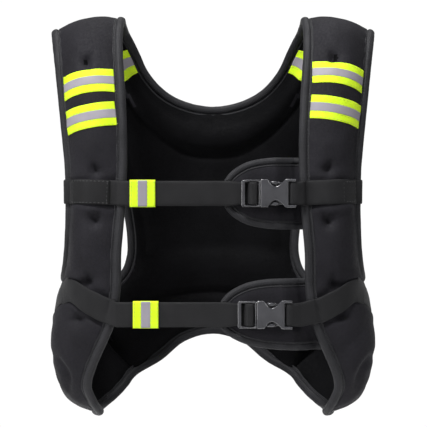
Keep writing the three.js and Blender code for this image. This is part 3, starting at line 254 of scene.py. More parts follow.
def unit(vectors: np.ndarray) -> np.ndarray:
    """The vectors at length one."""
    return vectors / np.maximum(np.linalg.norm(vectors, axis=-1, keepdims=True), 1e-12)


def smooth(value: np.ndarray) -> np.ndarray:
    """A soft step from 0 at 0 to 1 at 1."""
    t = np.clip(value, 0.0, 1.0)
    return t * t * (3 - 2 * t)


def mix(a: np.ndarray, b: np.ndarray, share: np.ndarray) -> np.ndarray:
    """The value a share of the way from a to b."""
    return a + (b - a) * share


def column(values: np.ndarray) -> np.ndarray:
    """Values made ready to multiply vectors."""
    return np.asarray(values, float)[..., None]


def lengths(points: np.ndarray) -> np.ndarray:
    """Distance along a line to each of its points."""
    return np.concatenate([[0], np.cumsum(np.linalg.norm(np.diff(points, axis=0), axis=-1))])


def heading(line: np.ndarray) -> np.ndarray:
    """The way a line runs at each of its points."""
    order = np.arange(len(line))
    return unit(line[np.minimum(order + 1, len(line) - 1)] - line[np.maximum(order - 1, 0)])


def nearest(points: np.ndarray, others: np.ndarray) -> np.ndarray:
    """Distance from each point to the nearest of some others.

    Args:
        points: A grid of points.
        others: The points that they are measured to.

    Returns:
        A distance for each point of the grid.
    """
    flat = points.reshape(-1, points.shape[-1])
    chunks = np.array_split(flat, max(1, len(flat) // 2000))
    found = [np.linalg.norm(chunk[:, None] - others[None], axis=-1).min(1) for chunk in chunks]
    return np.concatenate(found).reshape(points.shape[:-1])


def straight(values: np.ndarray, knots: np.ndarray, at: np.ndarray) -> np.ndarray:
    """Values between their knots on straight lines."""
    return np.stack([np.interp(at, knots, values[:, k]) for k in range(values.shape[1])], -1)


def spread(values: np.ndarray, knots: np.ndarray, at: np.ndarray) -> np.ndarray:
    """Values between their knots on a smooth cubic.

    Args:
        values: A value or vector for each knot.
        knots: Rising positions of the values.
        at: Positions to read.

    Returns:
        The values there.
    """
    values = np.asarray(values, float)
    at = np.clip(np.asarray(at, float), knots[0], knots[-1])
    slopes = np.gradient(values, knots, axis=0)
    low = np.clip(np.searchsorted(knots, at, side="right") - 1, 0, len(knots) - 2)
    width = knots[low + 1] - knots[low]
    u = (at - knots[low]) / width
    extra = (None,) * (values.ndim - 1)
    u, width = u[(..., *extra)], width[(..., *extra)]
    start, end = values[low], values[low + 1]
    bend = u * u * (3 - 2 * u)
    return (
        start * (1 - bend)
        + end * bend
        + slopes[low] * width * u * (1 - u) ** 2
        - slopes[low + 1] * width * u * u * (1 - u)
    )


class Curve:
    """A centripetal Catmull-Rom curve through places."""

    def __init__(self, points: np.ndarray) -> None:
        """Sets the curve through its points.

        Args:
            points: The places that it passes through.
        """
        self.points = np.asarray(points, float)
        first = 2 * self.points[0] - self.points[1]
        last = 2 * self.points[-1] - self.points[-2]
        self.reach = np.concatenate([[first], self.points, [last]])
        self.shares = np.linspace(0, 1, CURVE_STEPS + 1)
        self.lengths = lengths(self.at(self.shares))

    def at(self, share: np.ndarray) -> np.ndarray:
        """Points at shares of the curve's knots.

        Args:
            share: Shares of the way.

        Returns:
            The points.
        """
        spans = len(self.points) - 1
        place = np.clip(np.asarray(share, float), 0, 1) * spans
        low = np.minimum(place.astype(int), spans - 1)
        w = column(place - low)
        p = [self.reach[low + k] for k in range(4)]
        d = [np.sqrt(np.linalg.norm(p[k + 1] - p[k], axis=-1, keepdims=True)) for k in range(3)]
        d[1] = np.where(d[1] < 1e-4, 1.0, d[1])
        d[0] = np.where(d[0] < 1e-4, d[1], d[0])
        d[2] = np.where(d[2] < 1e-4, d[1], d[2])
        t1 = ((p[1] - p[0]) / d[0] - (p[2] - p[0]) / (d[0] + d[1]) + (p[2] - p[1]) / d[1]) * d[1]
        t2 = ((p[2] - p[1]) / d[1] - (p[3] - p[1]) / (d[1] + d[2]) + (p[3] - p[2]) / d[2]) * d[1]
        c2 = -3 * p[1] + 3 * p[2] - 2 * t1 - t2
        c3 = 2 * p[1] - 2 * p[2] + t1 + t2
        return p[1] + t1 * w + c2 * w**2 + c3 * w**3

    def along(self, share: np.ndarray) -> np.ndarray:
        """Points at shares of the curve's length."""
        target = np.clip(np.asarray(share, float), 0, 1) * self.lengths[-1]
        return self.at(np.interp(target, self.lengths, self.shares))


Surface = Callable[[np.ndarray, np.ndarray], np.ndarray]


def surface_normal(surface: Surface, t: np.ndarray, s: np.ndarray) -> np.ndarray:
    """The way a surface faces.

    Args:
        surface: The surface, along t and across s.
        t: Shares along.
        s: Shares across.

    Returns:
        Unit normals.
    """
    t, s = np.broadcast_arrays(np.asarray(t, float), np.asarray(s, float))
    along = surface(np.clip(t + STEP, 0, 1), s) - surface(np.clip(t - STEP, 0, 1), s)
    across = surface(t, np.clip(s + STEP, 0, 1)) - surface(t, np.clip(s - STEP, 0, 1))
    return unit(np.cross(across, along))


@dataclass
class Frames:
    """The outline's frames: its outermost points, the way the cloth faces and the way in from the edge."""

    point: np.ndarray
    normal: np.ndarray
    inner: np.ndarray

    @classmethod
    def along(cls, point: np.ndarray, normal: np.ndarray, first: np.ndarray, last: np.ndarray) -> "Frames":
        """Frames square to a line, except at its ends, where they follow the seams.

        Args:
            point: The outline.
            normal: The way the cloth faces there.
            first: The way in at the first point.
            last: The way in at the last point.

        Returns:
            The frames.
        """
        inner = unit(np.cross(normal, heading(point)))
        inner = np.where(column(inner @ first) < 0, -inner, inner)
        inner[0], inner[-1] = first, last
        return cls(point, normal.copy(), inner)

    def part(self, start: int | None, stop: int | None, step: int | None = None) -> "Frames":
        """A run of the frames, as a slice takes it."""
        cut = slice(start, stop, step)
        return Frames(self.point[cut], self.normal[cut], self.inner[cut])

    def mirrored(self) -> "Frames":
        """The frames of the other half."""
        return Frames(self.point * MIRROR, self.normal * MIRROR, self.inner * MIRROR)

    def joined(self, *others: "Frames") -> "Frames":
        """These frames with others after them."""
        runs = (self, *others)
        kinds = ("point", "normal", "inner")
        return Frames(*(np.concatenate([getattr(run, kind) for run in runs]) for kind in kinds))

    def turn_in(self, way_in: np.ndarray) -> None:
        """Turns round the ways in that point out, except the two at the seams.

        Args:
            way_in: A way into the panel at each station.
        """
        turned = (self.inner * way_in).sum(-1) < 0
        turned[[0, -1]] = False
        self.inner[turned] *= -1

    def inset(self, distance: float) -> np.ndarray:
        """Points that far in from the outline."""
        return self.point + self.inner * distance

    def refined(self, times: int, loop: bool) -> "Frames":
        """The same frames with more between them, on a smooth curve.

        Args:
            times: Steps for each of the old ones.
            loop: Whether the last joins the first.

        Returns:
            The finer frames.
        """
        count = len(self.point)
        wrap = 3 if loop else 0
        index = np.arange(-wrap, count + wrap) % count if loop else np.arange(count)
        knots = np.arange(len(index), dtype=float)
        total = count * times if loop else (count - 1) * times + 1
        at = wrap + np.arange(total) / times
        point, normal, inner = (
            spread(values[index], knots, at) for values in (self.point, self.normal, self.inner)
        )
        normal = unit(normal)
        inner = unit(inner - normal * column((inner * normal).sum(-1)))
        return Frames(point, normal, inner)


class PanelForm:
    """Surfaces of the right front panel: t runs along it from the shoulder seam, f from armhole to rim."""

    def __init__(self, sizes: VestSizes) -> None:
        """Works out the panel's edges.

        Args:
            sizes: The vest's sizes.
        """
        self.sizes = sizes
        rows = np.array(PANEL_SECTIONS, float)
        self.arm, self.rim = Curve(sizes.place(rows[:, :3])), Curve(sizes.place(rows[:, 3:6]))
        self.bow, self.low = rows[:, 6], rows[:, 7]
        self.stations = np.linspace(0, 1, STATIONS + 1)
        self.arm_edge, self.rim_edge = self._edge(0.0), self._edge(1.0)
        self.runs = lengths(self.middle(self.stations, 0.5))

    def _section(self, values: np.ndarray, t: np.ndarray) -> np.ndarray:
        """A column of the section table between its rows.

        Args:
            values: The column, a value a row.
            t: Shares along the panel.

        Returns:
            The values at those shares.
        """
        at = np.clip(t, 0, 1) * (len(values) - 1)
        row = np.minimum(at.astype(int), len(values) - 2)
        return mix(values[row], values[row + 1], smooth(at - row))

    def _line(self, t: np.ndarray, s: np.ndarray) -> np.ndarray:
        """Points on the straight lines between the edges."""
        return mix(self.arm.at(t), self.rim.at(t), column(s))

    def middle(self, t: np.ndarray, s: np.ndarray) -> np.ndarray:
        """The cloth's middle surface, from edge to edge.

        Args:
            t: Shares along the panel.
            s: Shares across the cloth.

        Returns:
            The points.
        """
        t, s = np.broadcast_arrays(np.asarray(t, float), np.asarray(s, float))
        half, zero = np.full(t.shape, 0.5), np.zeros(t.shape)
        along = self._line(np.clip(t + STEP, 0, 1), half) - self._line(np.clip(t - STEP, 0, 1), half)
        across = self._line(t, zero + 1) - self._line(t, zero)
        out = unit(np.cross(across, along))
        full = np.sin(np.pi * np.clip(s, 0, 1) ** self._section(self.low, t))
        bow = self._section(self.bow, t) * self.sizes.pad_bow * full
        return self._line(t, s) + out * column(bow)

    def _edge(self, edge: float) -> Frames:
        """Frames of the armhole edge at 0 or the rim at 1.

        Args:
            edge: 0 for the armhole, 1 for the rim.

        Returns:
            The frames.
        """
        towards = 0.05 if edge == 0 else -0.05
        points = self.middle(self.stations, edge)
        normals = surface_normal(self.middle, self.stations, np.clip(edge, 0.02, 0.98))
        ends = np.array([0.0, 1.0])
        seams = unit(self.middle(ends, edge + towards) - self.middle(ends, edge))
        frames = Frames.along(points, normals, seams[0], seams[1])
        frames.turn_in(self.middle(self.stations, edge + towards) - points)
        return frames

    def run(self, t: np.ndarray) -> np.ndarray:
        """Distance along the panel from its shoulder seam."""
        return spread(self.runs, self.stations, t)

    def pad_middle(self, t: np.ndarray, f: np.ndarray) -> np.ndarray:
        """Middle of the padding between the bindings.

        Args:
            t: Shares along the panel.
            f: Shares across it, from armhole to rim.

        Returns:
            The points.
        """
        t, f = np.broadcast_arrays(np.asarray(t, float), np.asarray(f, float))
        arm, rim = (spread(edge.inner, self.stations, t) for edge in (self.arm_edge, self.rim_edge))
        return self.middle(t, f) + self.sizes.inset * (arm * column(1 - f) + rim * column(f))

    def pad_normal(self, t: np.ndarray, f: np.ndarray) -> np.ndarray:
        """The way the padding faces; beside a binding it faces as the binding does.

        Args:
            t: Shares along the panel.
            f: Shares across it, from armhole to rim.

        Returns:
            Unit normals.
        """
        t, f = np.broadcast_arrays(np.asarray(t, float), np.asarray(f, float))
        own = surface_normal(self.pad_middle, t, np.clip(f, 0.02, 0.98))
        arm, rim = (spread(edge.normal, self.stations, t) for edge in (self.arm_edge, self.rim_edge))
        share = 1 - smooth(np.minimum(f, 1 - f) / NORMAL_BLEND)
        return unit(mix(own, np.where(column(f) < 0.5, arm, rim), column(share)))

    def width(self, t: np.ndarray) -> np.ndarray:
        """Width of the padding."""
        t = np.asarray(t, float)
        return np.linalg.norm(self.pad_middle(t, 0.0 * t) - self.pad_middle(t, 0.0 * t + 1), axis=-1)

    def half_pad(self, from_edge: np.ndarray, from_seam: np.ndarray) -> np.ndarray:
        """Half the padding's thickness, by how far it lies from a binding and from a seam.

        Args:
            from_edge: Distances from the nearest binding.
            from_seam: Distances from the nearest seam.

        Returns:
            Half the thickness.
        """
        sizes = self.sizes
        swell = np.sin(np.pi / 2 * np.clip(from_edge / sizes.pad_round, 0, 1))
        full = mix(sizes.pad_edge_thick, sizes.pad_thick, swell) / 2
        return np.minimum(full, mix(sizes.pad_seam_thick / 2, full, smooth(from_seam / sizes.pad_round)))

    def half(self, t: np.ndarray, f: np.ndarray) -> np.ndarray:
        """Half the padding's thickness on the panel."""
        width, run = self.width(t), self.run(t)
        return self.half_pad(np.minimum(f, 1 - f) * width, np.minimum(run, self.runs[-1] - run))

    def skin(self, t: np.ndarray, f: np.ndarray, lift: np.ndarray | float = 0.0) -> np.ndarray:
        """Points on the padding's face, or standing off it by lift."""
        t, f = np.broadcast_arrays(np.asarray(t, float), np.asarray(f, float))
        return self.pad_middle(t, f) + self.pad_normal(t, f) * column(self.half(t, f) + lift)

    def cover(self, t: np.ndarray, f: np.ndarray, lift: np.ndarray | float) -> np.ndarray:
        """Points over the padding, or past 0 and 1 over its two bindings.

        Args:
            t: Shares along the panel.
            f: Shares across it, from armhole to rim.
            lift: How far to stand off, in millimetres.

        Returns:
            The points.
        """
        t, f = np.broadcast_arrays(np.asarray(t, float), np.asarray(f, float))
        result = self.skin(t, np.clip(f, 0, 1), lift)
        for edge, past, inside in (
            (self.arm_edge, f < 0, np.clip(1 + f, 0, 1)),
            (self.rim_edge, f > 1, np.clip(2 - f, 0, 1)),
        ):
            point, normal, inner = (
                spread(values, self.stations, t) for values in (edge.point, unit(edge.normal), edge.inner)
            )
            depth = inside * self.sizes.inset
            height = Binding.height(depth / self.sizes.binding_width) * self.sizes.binding_thick
            over = point + inner * column(depth) + unit(normal) * column(height + lift)
            result = np.where(column(past), over, result)
        return result

    def rim_at(self, z: np.ndarray) -> tuple[np.ndarray, np.ndarray, np.ndarray]:
        """Where the front rim is at a height: x, y and the rear of its binding.

        Args:
            z: Heights in millimetres.

        Returns:
            x, y and the rear of the binding there.
        """
        start = math.ceil(STATIONS * 0.2)
        stop = int(np.argmin(self.rim_edge.point[:, 2]))
        frames = self.rim_edge.part(start, stop)
        rear = Binding.rings(frames, self.sizes.binding_width, self.sizes.binding_thick)[..., 1].max(-1)
        order = frames.point[::-1]
        return (
            np.interp(z, order[:, 2], order[:, 0]),
            np.interp(z, order[:, 2], order[:, 1]),
            np.interp(z, order[:, 2], rear[::-1]),
        )


class BackForm:
    """Surfaces of the right half of the back: v runs down from the shoulder seam, u in from the armhole."""

    def __init__(self, sizes: VestSizes, panel: PanelForm) -> None:
        """Works out the back's edges and its taut middle surface.

        Args:
            sizes: The vest's sizes.
            panel: The front panel that it is sewn to.
        """
        self.sizes, self.panel = sizes, panel
        self.neck_rows = round(BACK_ROWS * NECK_SHARE)
        below = np.linspace(0, 1, BACK_ROWS - self.neck_rows + 1)[1:]
        self.rows = np.concatenate(
            [np.linspace(0, 1, self.neck_rows + 1) * NECK_SHARE, mix(NECK_SHARE, 1, below)]
        )
        hem = np.linspace(0, 1, HEM_COLUMNS + 1)[1:]
        self.columns = np.concatenate([COLUMNS * SEAM_SHARE, mix(SEAM_SHARE, 1, hem)])
        self.neck = Curve(sizes.place(NECKLINE))
        self.armhole = Curve(sizes.place(BACK_ARMHOLE))
        self.middle_line = Curve(sizes.place(BACK_MIDDLE))
        self.hem = Curve(sizes.place(BACK_HEM))
        self._set_frames()
        self._set_grid()

    @staticmethod
    def _patch(top: Callable, bottom: Callable, outer: Callable, inner: Callable) -> Surface:
        """A four-sided patch between its edges.

        Args:
            top: The edge at v = 0.
            bottom: The edge at v = 1.
            outer: The edge at u = 0.
            inner: The edge at u = 1.

        Returns:
            The patch.
        """

        def surface(v: np.ndarray, u: np.ndarray) -> np.ndarray:
            """Points of the patch.

            Args:
                v: Shares down.
                u: Shares in.

            Returns:
                The points.
            """
            v, u = np.broadcast_arrays(np.asarray(v, float), np.asarray(u, float))
            cv, cu = column(v), column(u)
            ends = np.array([0.0, 1.0])
            (top0, top1), (bottom0, bottom1) = top(ends), bottom(ends)
            corners = (top0 * (1 - cu) + top1 * cu) * (1 - cv) + (bottom0 * (1 - cu) + bottom1 * cu) * cv
            return top(u) * (1 - cv) + bottom(u) * cv + outer(v) * (1 - cu) + inner(v) * cu - corners

        return surface

    @staticmethod
    def _chain(first: Callable, second: Callable, share: float) -> Callable:
        """Two edges one after the other: the first up to a share of the way.

        Args:
            first: The edge that comes first.
            second: The edge that follows.
            share: Shares of the way.

        Returns:
            The edge.
        """

        def edge(s: np.ndarray) -> np.ndarray:
            """Points of the chained edge."""
            before, after = np.clip(s / share, 0, 1), np.clip((s - share) / (1 - share), 0, 1)
            return np.where(column(s < share), first(before), second(after))

        return edge

    def _frames(self, v: np.ndarray, u: np.ndarray, ends: tuple, normals: tuple) -> Frames:
        """Frames along an edge of the back.

        Args:
            v: Shares down.
            u: Shares in.
            ends: The ways in at the two ends.
            normals: The ways it faces at the two ends, or None.

        Returns:
            The frames.
        """
        points = self.base(v, u)
        facing = -surface_normal(self.base, np.clip(v, 0.02, 0.98), np.clip(u, 0.02, 0.98))
        taut = np.where(u == 0, smooth(v / TAUT_FROM) * smooth((1 - v) / (1 - TAUT_TO)), 0.0)
        facing = unit(mix(facing, np.array([0.0, 1.0, 0.0]), column(taut)))
        frames = Frames.along(points, facing, ends[0], ends[1])
        for index, normal in zip((0, -1), normals):
            if normal is not None:
                frames.normal[index] = normal
        frames.turn_in(self.base(mix(v, 0.7, 0.08), mix(u, 0.5, 0.08)) - points)
        return frames

    def _set_frames(self) -> None:
        """Works out the frames of the armhole, the neck and the hem."""
        panel = self.panel
        self.base = self._patch(
            lambda u: panel.middle(0.0, u),
            self._chain(lambda s: panel.middle(1.0, s), self.hem.along, SEAM_SHARE),
            self.armhole.along,
            self._chain(self.neck.along, self.middle_line.along, NECK_SHARE),
        )
        arm, rim = panel.arm_edge, panel.rim_edge
        self.arm_edge = self._frames(
            self.rows, 0 * self.rows, (arm.inner[0], arm.inner[-1]), (arm.normal[0], arm.normal[-1])
        )
        for values in (self.arm_edge.inner, self.arm_edge.normal):
            values[-2] = unit(values[-3] + values[-1])
        down, up = np.array([0.0, 0.0, -1.0]), np.array([0.0, 0.0, 1.0])
        neck_rows = self.rows[: self.neck_rows + 1]
        self.neck_edge = self._frames(
            neck_rows, 0 * neck_rows + 1, (rim.inner[0], down), (rim.normal[0], None)
        )
        hem_columns = self.columns[len(COLUMNS) - 1 :]
        self.hem_edge = self._frames(
            0 * hem_columns + 1, hem_columns, (rim.inner[-1], up), (rim.normal[-1], None)
        )

    def _set_grid(self) -> None:
        """Draws the middle surface taut between its edges and works out the way it faces."""
        sizes, panel = self.sizes, self.panel

        def through(frames: Frames) -> Callable:
            """The inset of some frames as an edge."""
            points = frames.inset(sizes.inset)
            return lambda s: straight(points, np.linspace(0, 1, len(points)), s)

        arm, neck, hem = through(self.arm_edge), through(self.neck_edge), through(self.hem_edge)
        top, foot = neck(np.array(1.0)), hem(np.array(1.0))

        def down_middle(s: np.ndarray) -> np.ndarray:
            """The middle line between the neck's and the hem's insets.

            Args:
                s: Shares from the neck to the hem.

            Returns:
                The points.
            """
            points = self.middle_line.along(s)
            points[..., 2] = mix(top[2], foot[2], s)
            return points

        row_knots = np.arange(BACK_ROWS + 1) / BACK_ROWS
        surface = self._patch(
            lambda u: panel.pad_middle(0.0, u),
            self._chain(lambda s: panel.pad_middle(1.0, s), hem, SEAM_SHARE),
            lambda v: arm(np.interp(v, self.rows, row_knots)),
            self._chain(neck, down_middle, NECK_SHARE),
        )
        grid = surface(self.rows[:, None], self.columns[None, :])
        last = len(self.columns) - 1
        for _ in range(TAUT_PASSES):
            for row in range(1, BACK_ROWS):
                for col in range(1, last + 1 if row > self.neck_rows else last):
                    here = grid[row, col]
                    inner = grid[row, last - 1] * MIRROR if col == last else grid[row, col + 1]
                    around = np.array([grid[row, col - 1], inner, grid[row - 1, col], grid[row + 1, col]])
                    pulls = 1 / np.hypot(around[:, 0] - here[0], around[:, 2] - here[2])
                    here[1] = (around[:, 1] * pulls).sum() / pulls.sum()
        self.grid = grid
        self.normals = self._grid_normals(grid)
        edges = [self.arm_edge, self.neck_edge, self.hem_edge]
        line = np.linspace(0, 1, EDGE_LINE_STEPS + 1)
        self.bound_points = np.concatenate([through(edge)(line) for edge in edges])
        line = line[::2]
        self.seam_points = np.concatenate([panel.pad_middle(0.0, line), panel.pad_middle(1.0, line)])

    def _grid_normals(self, grid: np.ndarray) -> np.ndarray:
        """The way the back faces at each point of its grid.

        Args:
            grid: The grid's points.

        Returns:
            Unit normals.
        """
        last, above = len(self.columns) - 1, slice(0, self.neck_rows + 1)
        wide = self._widened(grid)
        down = np.gradient(wide, axis=0)[:, :-1]
        inwards = np.concatenate([wide[:, 1:2] - wide[:, :1], (wide[:, 2:] - wide[:, :-2]) / 2], 1)
        normals = unit(np.cross(down, inwards))
        normals[self.neck_rows + 1 :, last, 0] = 0
        normals[:, 0] = self.arm_edge.normal
        normals[above, last] = self.neck_edge.normal
        normals[-1, len(COLUMNS) - 1 :] = self.hem_edge.normal
        seam = COLUMNS[1:-1]
        for row, t in ((0, 0.0), (BACK_ROWS, 1.0)):
            normals[row, 1 : len(COLUMNS) - 1] = self.panel.pad_normal(t, seam)
        return unit(normals)

    def _widened(self, values: np.ndarray) -> np.ndarray:
        """Grid values with one more column, beyond the neck's edge or the middle line.

        Args:
            values: Values or vectors.

        Returns:
            The wider grid.
        """
        last, above = len(self.columns) - 1, slice(0, self.neck_rows + 1)
        beyond = values[:, last - 1] * MIRROR
        beyond[above] = 2 * values[above, last] - values[above, last - 1]
        return np.concatenate([values, beyond[:, None]], 1)

    def _fine(self, values: np.ndarray, v: np.ndarray, u: np.ndarray) -> np.ndarray:
        """Grid values at finer rows and columns, smooth over the middle line.

        Args:
            values: Values on the panel's grid.
            v: The finer rows.
            u: The finer columns.

        Returns:
            The values there.
        """
        knots = np.append(self.columns, 2 * self.columns[-1] - self.columns[-2])
        rows = spread(self._widened(values), self.rows, v)
        return spread(np.swapaxes(rows, 0, 1), knots, u).swapaxes(0, 1)

    def surface(self, v: np.ndarray, u: np.ndarray) -> tuple[np.ndarray, np.ndarray, np.ndarray]:
        """The back's middle, normals and half thickness on a grid of rows v and columns u.

        Args:
            v: The rows.
            u: The columns.

        Returns:
            The middle points, the unit normals and the half thickness.
        """
        middle, normals = self._fine(self.grid, v, u), unit(self._fine(self.normals, v, u))
        half = self.panel.half_pad(nearest(middle, self.bound_points), nearest(middle, self.seam_points))
        return middle, normals, half


class Slot(Enum):
    """The record's material slots."""

    NEOPRENE = "neoprene"
    BINDING = "binding"
    WEBBING = "webbing"
    LIME = "lime_tape"
    SILVER = "silver_tape"
    BUCKLE = "buckle"
    LABEL = "label"


def write_mesh(
    name: str, points: np.ndarray, faces: np.ndarray, uvs: np.ndarray | None = None
) -> bpy.types.Object:
    """A closed, smooth-shaded mesh at its place in the vest.

    Args:
        name: The piece's name.
        points: Its points in millimetres.
        faces: Point numbers, a row for each face.
        uvs: Metres along and across the cloth for each corner of each face.

    Returns:
        The new object, its faces pointing out.
    """
    mesh = bpy.data.meshes.new(name)
    mesh.from_pydata((points.reshape(-1, 3) * MM).tolist(), [], faces.tolist())
    if uvs is not None:
        layer = mesh.uv_layers.new(name="cloth")
        layer.data.foreach_set("uv", uvs.astype(np.float32).ravel())
    mesh.polygons.foreach_set("use_smooth", np.ones(len(mesh.polygons), bool))
    piece = bpy.data.objects.new(name, mesh)
    bpy.context.scene.collection.objects.link(piece)
    face_out(piece)
    return piece


def face_out(piece: bpy.types.Object, merge: float = 0.0) -> None:
    """Turns a closed mesh's faces outwards.

    Args:
        piece: The object.
        merge: Distance in metres under which points become one first.
    """
    pick(piece)
    bpy.ops.object.mode_set(mode="EDIT")
    bpy.ops.mesh.select_all(action="SELECT")
    if merge:
        bpy.ops.mesh.remove_doubles(threshold=merge)
    bpy.ops.mesh.normals_make_consistent(inside=False)
    bpy.ops.object.mode_set(mode="OBJECT")
    piece.select_set(False)


def pick(piece: bpy.types.Object) -> None:
    """Makes one object the only one picked.

    Args:
        piece: The object.
    """
    bpy.ops.object.select_all(action="DESELECT")
    bpy.context.view_layer.objects.active = piece
    piece.select_set(True)


def enrol(piece: bpy.types.Object, slot: Slot, node: str = "") -> bpy.types.Object:
    """Tells the frame what a piece is.

    Args:
        piece: The piece.
        slot: Its finish.
        node: The solid that it stands for, if any.

    Returns:
        The piece.
    """
    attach(piece, "root")
    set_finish(piece, slot.value)
    if node:
        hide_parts(node)
    return piece


def grid_faces(numbers: np.ndarray) -> np.ndarray:
    """Four-sided faces between neighbouring rows and columns of point numbers.

    Args:
        numbers: Point numbers in rows and columns.

    Returns:
        Four point numbers a face.
    """
    a, b = numbers[:-1, :-1], numbers[1:, :-1]
    c, d = numbers[1:, 1:], numbers[:-1, 1:]
    return np.stack([a, b, c, d], -1).reshape(-1, 4)


def padding(outer: np.ndarray, inner: np.ndarray, stop: int | None = None) -> tuple[np.ndarray, np.ndarray]:
    """Padding between its two faces, closed round its edges.

    Args:
        outer: The outer face's grid of points.
        inner: The inner face's.
        stop: Row where the wall along the last column ends, where a mirror image goes on from it.

    Returns:
        The points, and the numbers of each face's points.
    """
    numbers = np.arange(outer[..., 0].size).reshape(outer.shape[:2])
    faces = [grid_faces(numbers), grid_faces(numbers + numbers.size)]
    for line in (numbers[0], numbers[-1], numbers[:, 0], numbers[:stop, -1]):
        faces.append(grid_faces(np.stack([line, line + numbers.size])))
    return np.concatenate([outer.reshape(-1, 3), inner.reshape(-1, 3)]), np.concatenate(faces)


def lofted(name: str, rings: np.ndarray, loop: bool, across: np.ndarray) -> bpy.types.Object:
    """A closed body through rings, with its own lengths as a UV map.

    Args:
        name: The piece's name.
        rings: Points, ring by ring.
        loop: Whether the last ring joins the first.
        across: Millimetres round the ring to each of its points.

    Returns:
        The new object.
    """
    count, size = rings.shape[:2]
    along = lengths(rings.mean(1))
    along = np.append(along, along[-1] + np.diff(along).mean())
    wrap = np.append(across, 2 * across[-1] - across[-2])
    last = count if loop else count - 1
    i, j = np.meshgrid(np.arange(last), np.arange(size), indexing="ij")
    corners = [(i, j), (i, j + 1), (i + 1, j + 1), (i + 1, j)]
    faces = np.stack([(a % count) * size + b % size for a, b in corners], -1).reshape(-1, 4)
    uvs = np.stack([np.stack([along[a], wrap[b]], -1) for a, b in corners], -2).reshape(-1, 2) * MM
    if not loop:
        half = size // 2
        ends = []
        for start in (0, (count - 1) * size):
            k = np.arange(half - 1)
            ends.append(start + np.stack([k, k + 1, size - 2 - k, size - 1 - k], -1))
        caps = np.concatenate(ends)
        faces = np.concatenate([faces, caps])
        uvs = np.concatenate([uvs, np.zeros((caps.size, 2))])
    return write_mesh(name, rings, faces, uvs)


def waves(points: np.ndarray, length: float, seed: int) -> np.ndarray:
    """A soft uneven field, about -1 to 1, from a few fixed sine waves.

    Args:
        points: Places in millimetres.
        length: Typical wavelength in millimetres.
        seed: Picks the waves.

    Returns:
        The field's values.
    """
    random = np.random.default_rng(seed)
    total = np.zeros(points.shape[:-1])
    for _ in range(7):
        way = unit(random.normal(size=3)) * 2 * np.pi / (length * random.uniform(0.7, 1.6))
        total += np.sin(points @ way + random.uniform(0, 2 * np.pi))
    return total / 3.5


def bump(distance: np.ndarray, wide: float) -> np.ndarray:
    """A bell that is 1 at 0 and fades over a width."""
    return np.exp(-((distance / wide) ** 2))


class Binding:
    """The tape folded over an edge: a rolled outer part and a flat sewn border."""

    PROFILE = np.array(
        [
            (1.13, 0.24), (1.13, 0.35), (1.09, 0.405), (1.01, 0.405), (0.95, 0.36), (0.89, 0.26),
            (0.83, 0.35), (0.75, 0.455), (0.63, 0.51), (0.48, 0.515), (0.34, 0.475), (0.21, 0.395),
            (0.12, 0.29), (0.065, 0.15), (0.05, 0.0),
        ]
    )
    SEWN_AT = 5

    @classmethod
    def outline(cls) -> np.ndarray:
        """The whole section: in from the edge and out from the middle, as shares."""
        return np.concatenate([cls.PROFILE, cls.PROFILE[-2::-1] * np.array([1.0, -1.0])])

    @classmethod
    def height(cls, inside: np.ndarray) -> np.ndarray:
        """Height of the face over its middle, by the share in from the edge."""
        order = cls.PROFILE[::-1]
        return np.interp(inside, order[:, 0], order[:, 1])

    @classmethod
    def rings(cls, frames: Frames, width: float, thick: float) -> np.ndarray:
        """The section's points at each frame.

        Args:
            frames: The edge's frames.
            width: Its width in millimetres.
            thick: Its thickness in millimetres.

        Returns:
            Rings of points.
        """
        outline = cls.outline()
        return (
            frames.point[:, None]
            + frames.inner[:, None] * (outline[:, :1] * width)
            + frames.normal[:, None] * (outline[:, 1:] * thick)
        )

    def __init__(self, name: str, frames: Frames, loop: bool, width: float, thick: float) -> None:
        """Sets the binding along an edge.

        Args:
            name: Its name, as its solid has it.
            frames: The edge's frames.
            loop: Whether it closes on itself.
            width: Its width in millimetres.
            thick: Its thickness over the roll.
        """
        self.name, self.frames, self.loop = name, frames, loop
        self.width, self.thick = width, thick

    def build(self) -> list[bpy.types.Object]:
        """Makes the binding and its stitches.

        Returns:
            The finished pieces.
        """
        rings = self.rings(self.frames, self.width, self.thick)
        pucker = waves(rings, 9.0, 5) * 0.12
        middle = rings.mean(1, keepdims=True)
        rings = rings + unit(rings - middle) * column(pucker)
        outline = self.outline() * np.array([self.width, self.thick])
        body = enrol(lofted(self.name + "_tape", rings, self.loop, lengths(outline)), Slot.BINDING, self.name)
        lines = []
        for index, way in ((self.SEWN_AT, 1), (len(outline) - 1 - self.SEWN_AT, -1)):
            line = rings[:, index]
            normal = self.frames.normal * way
            if self.loop:
                line, normal = (np.concatenate([v, v[:1]]) for v in (line, normal))
            lines.append((line, normal))
        seam = Stitches(self.name + "_stitches", lines, Slot.BINDING).build()
        return [body, seam]


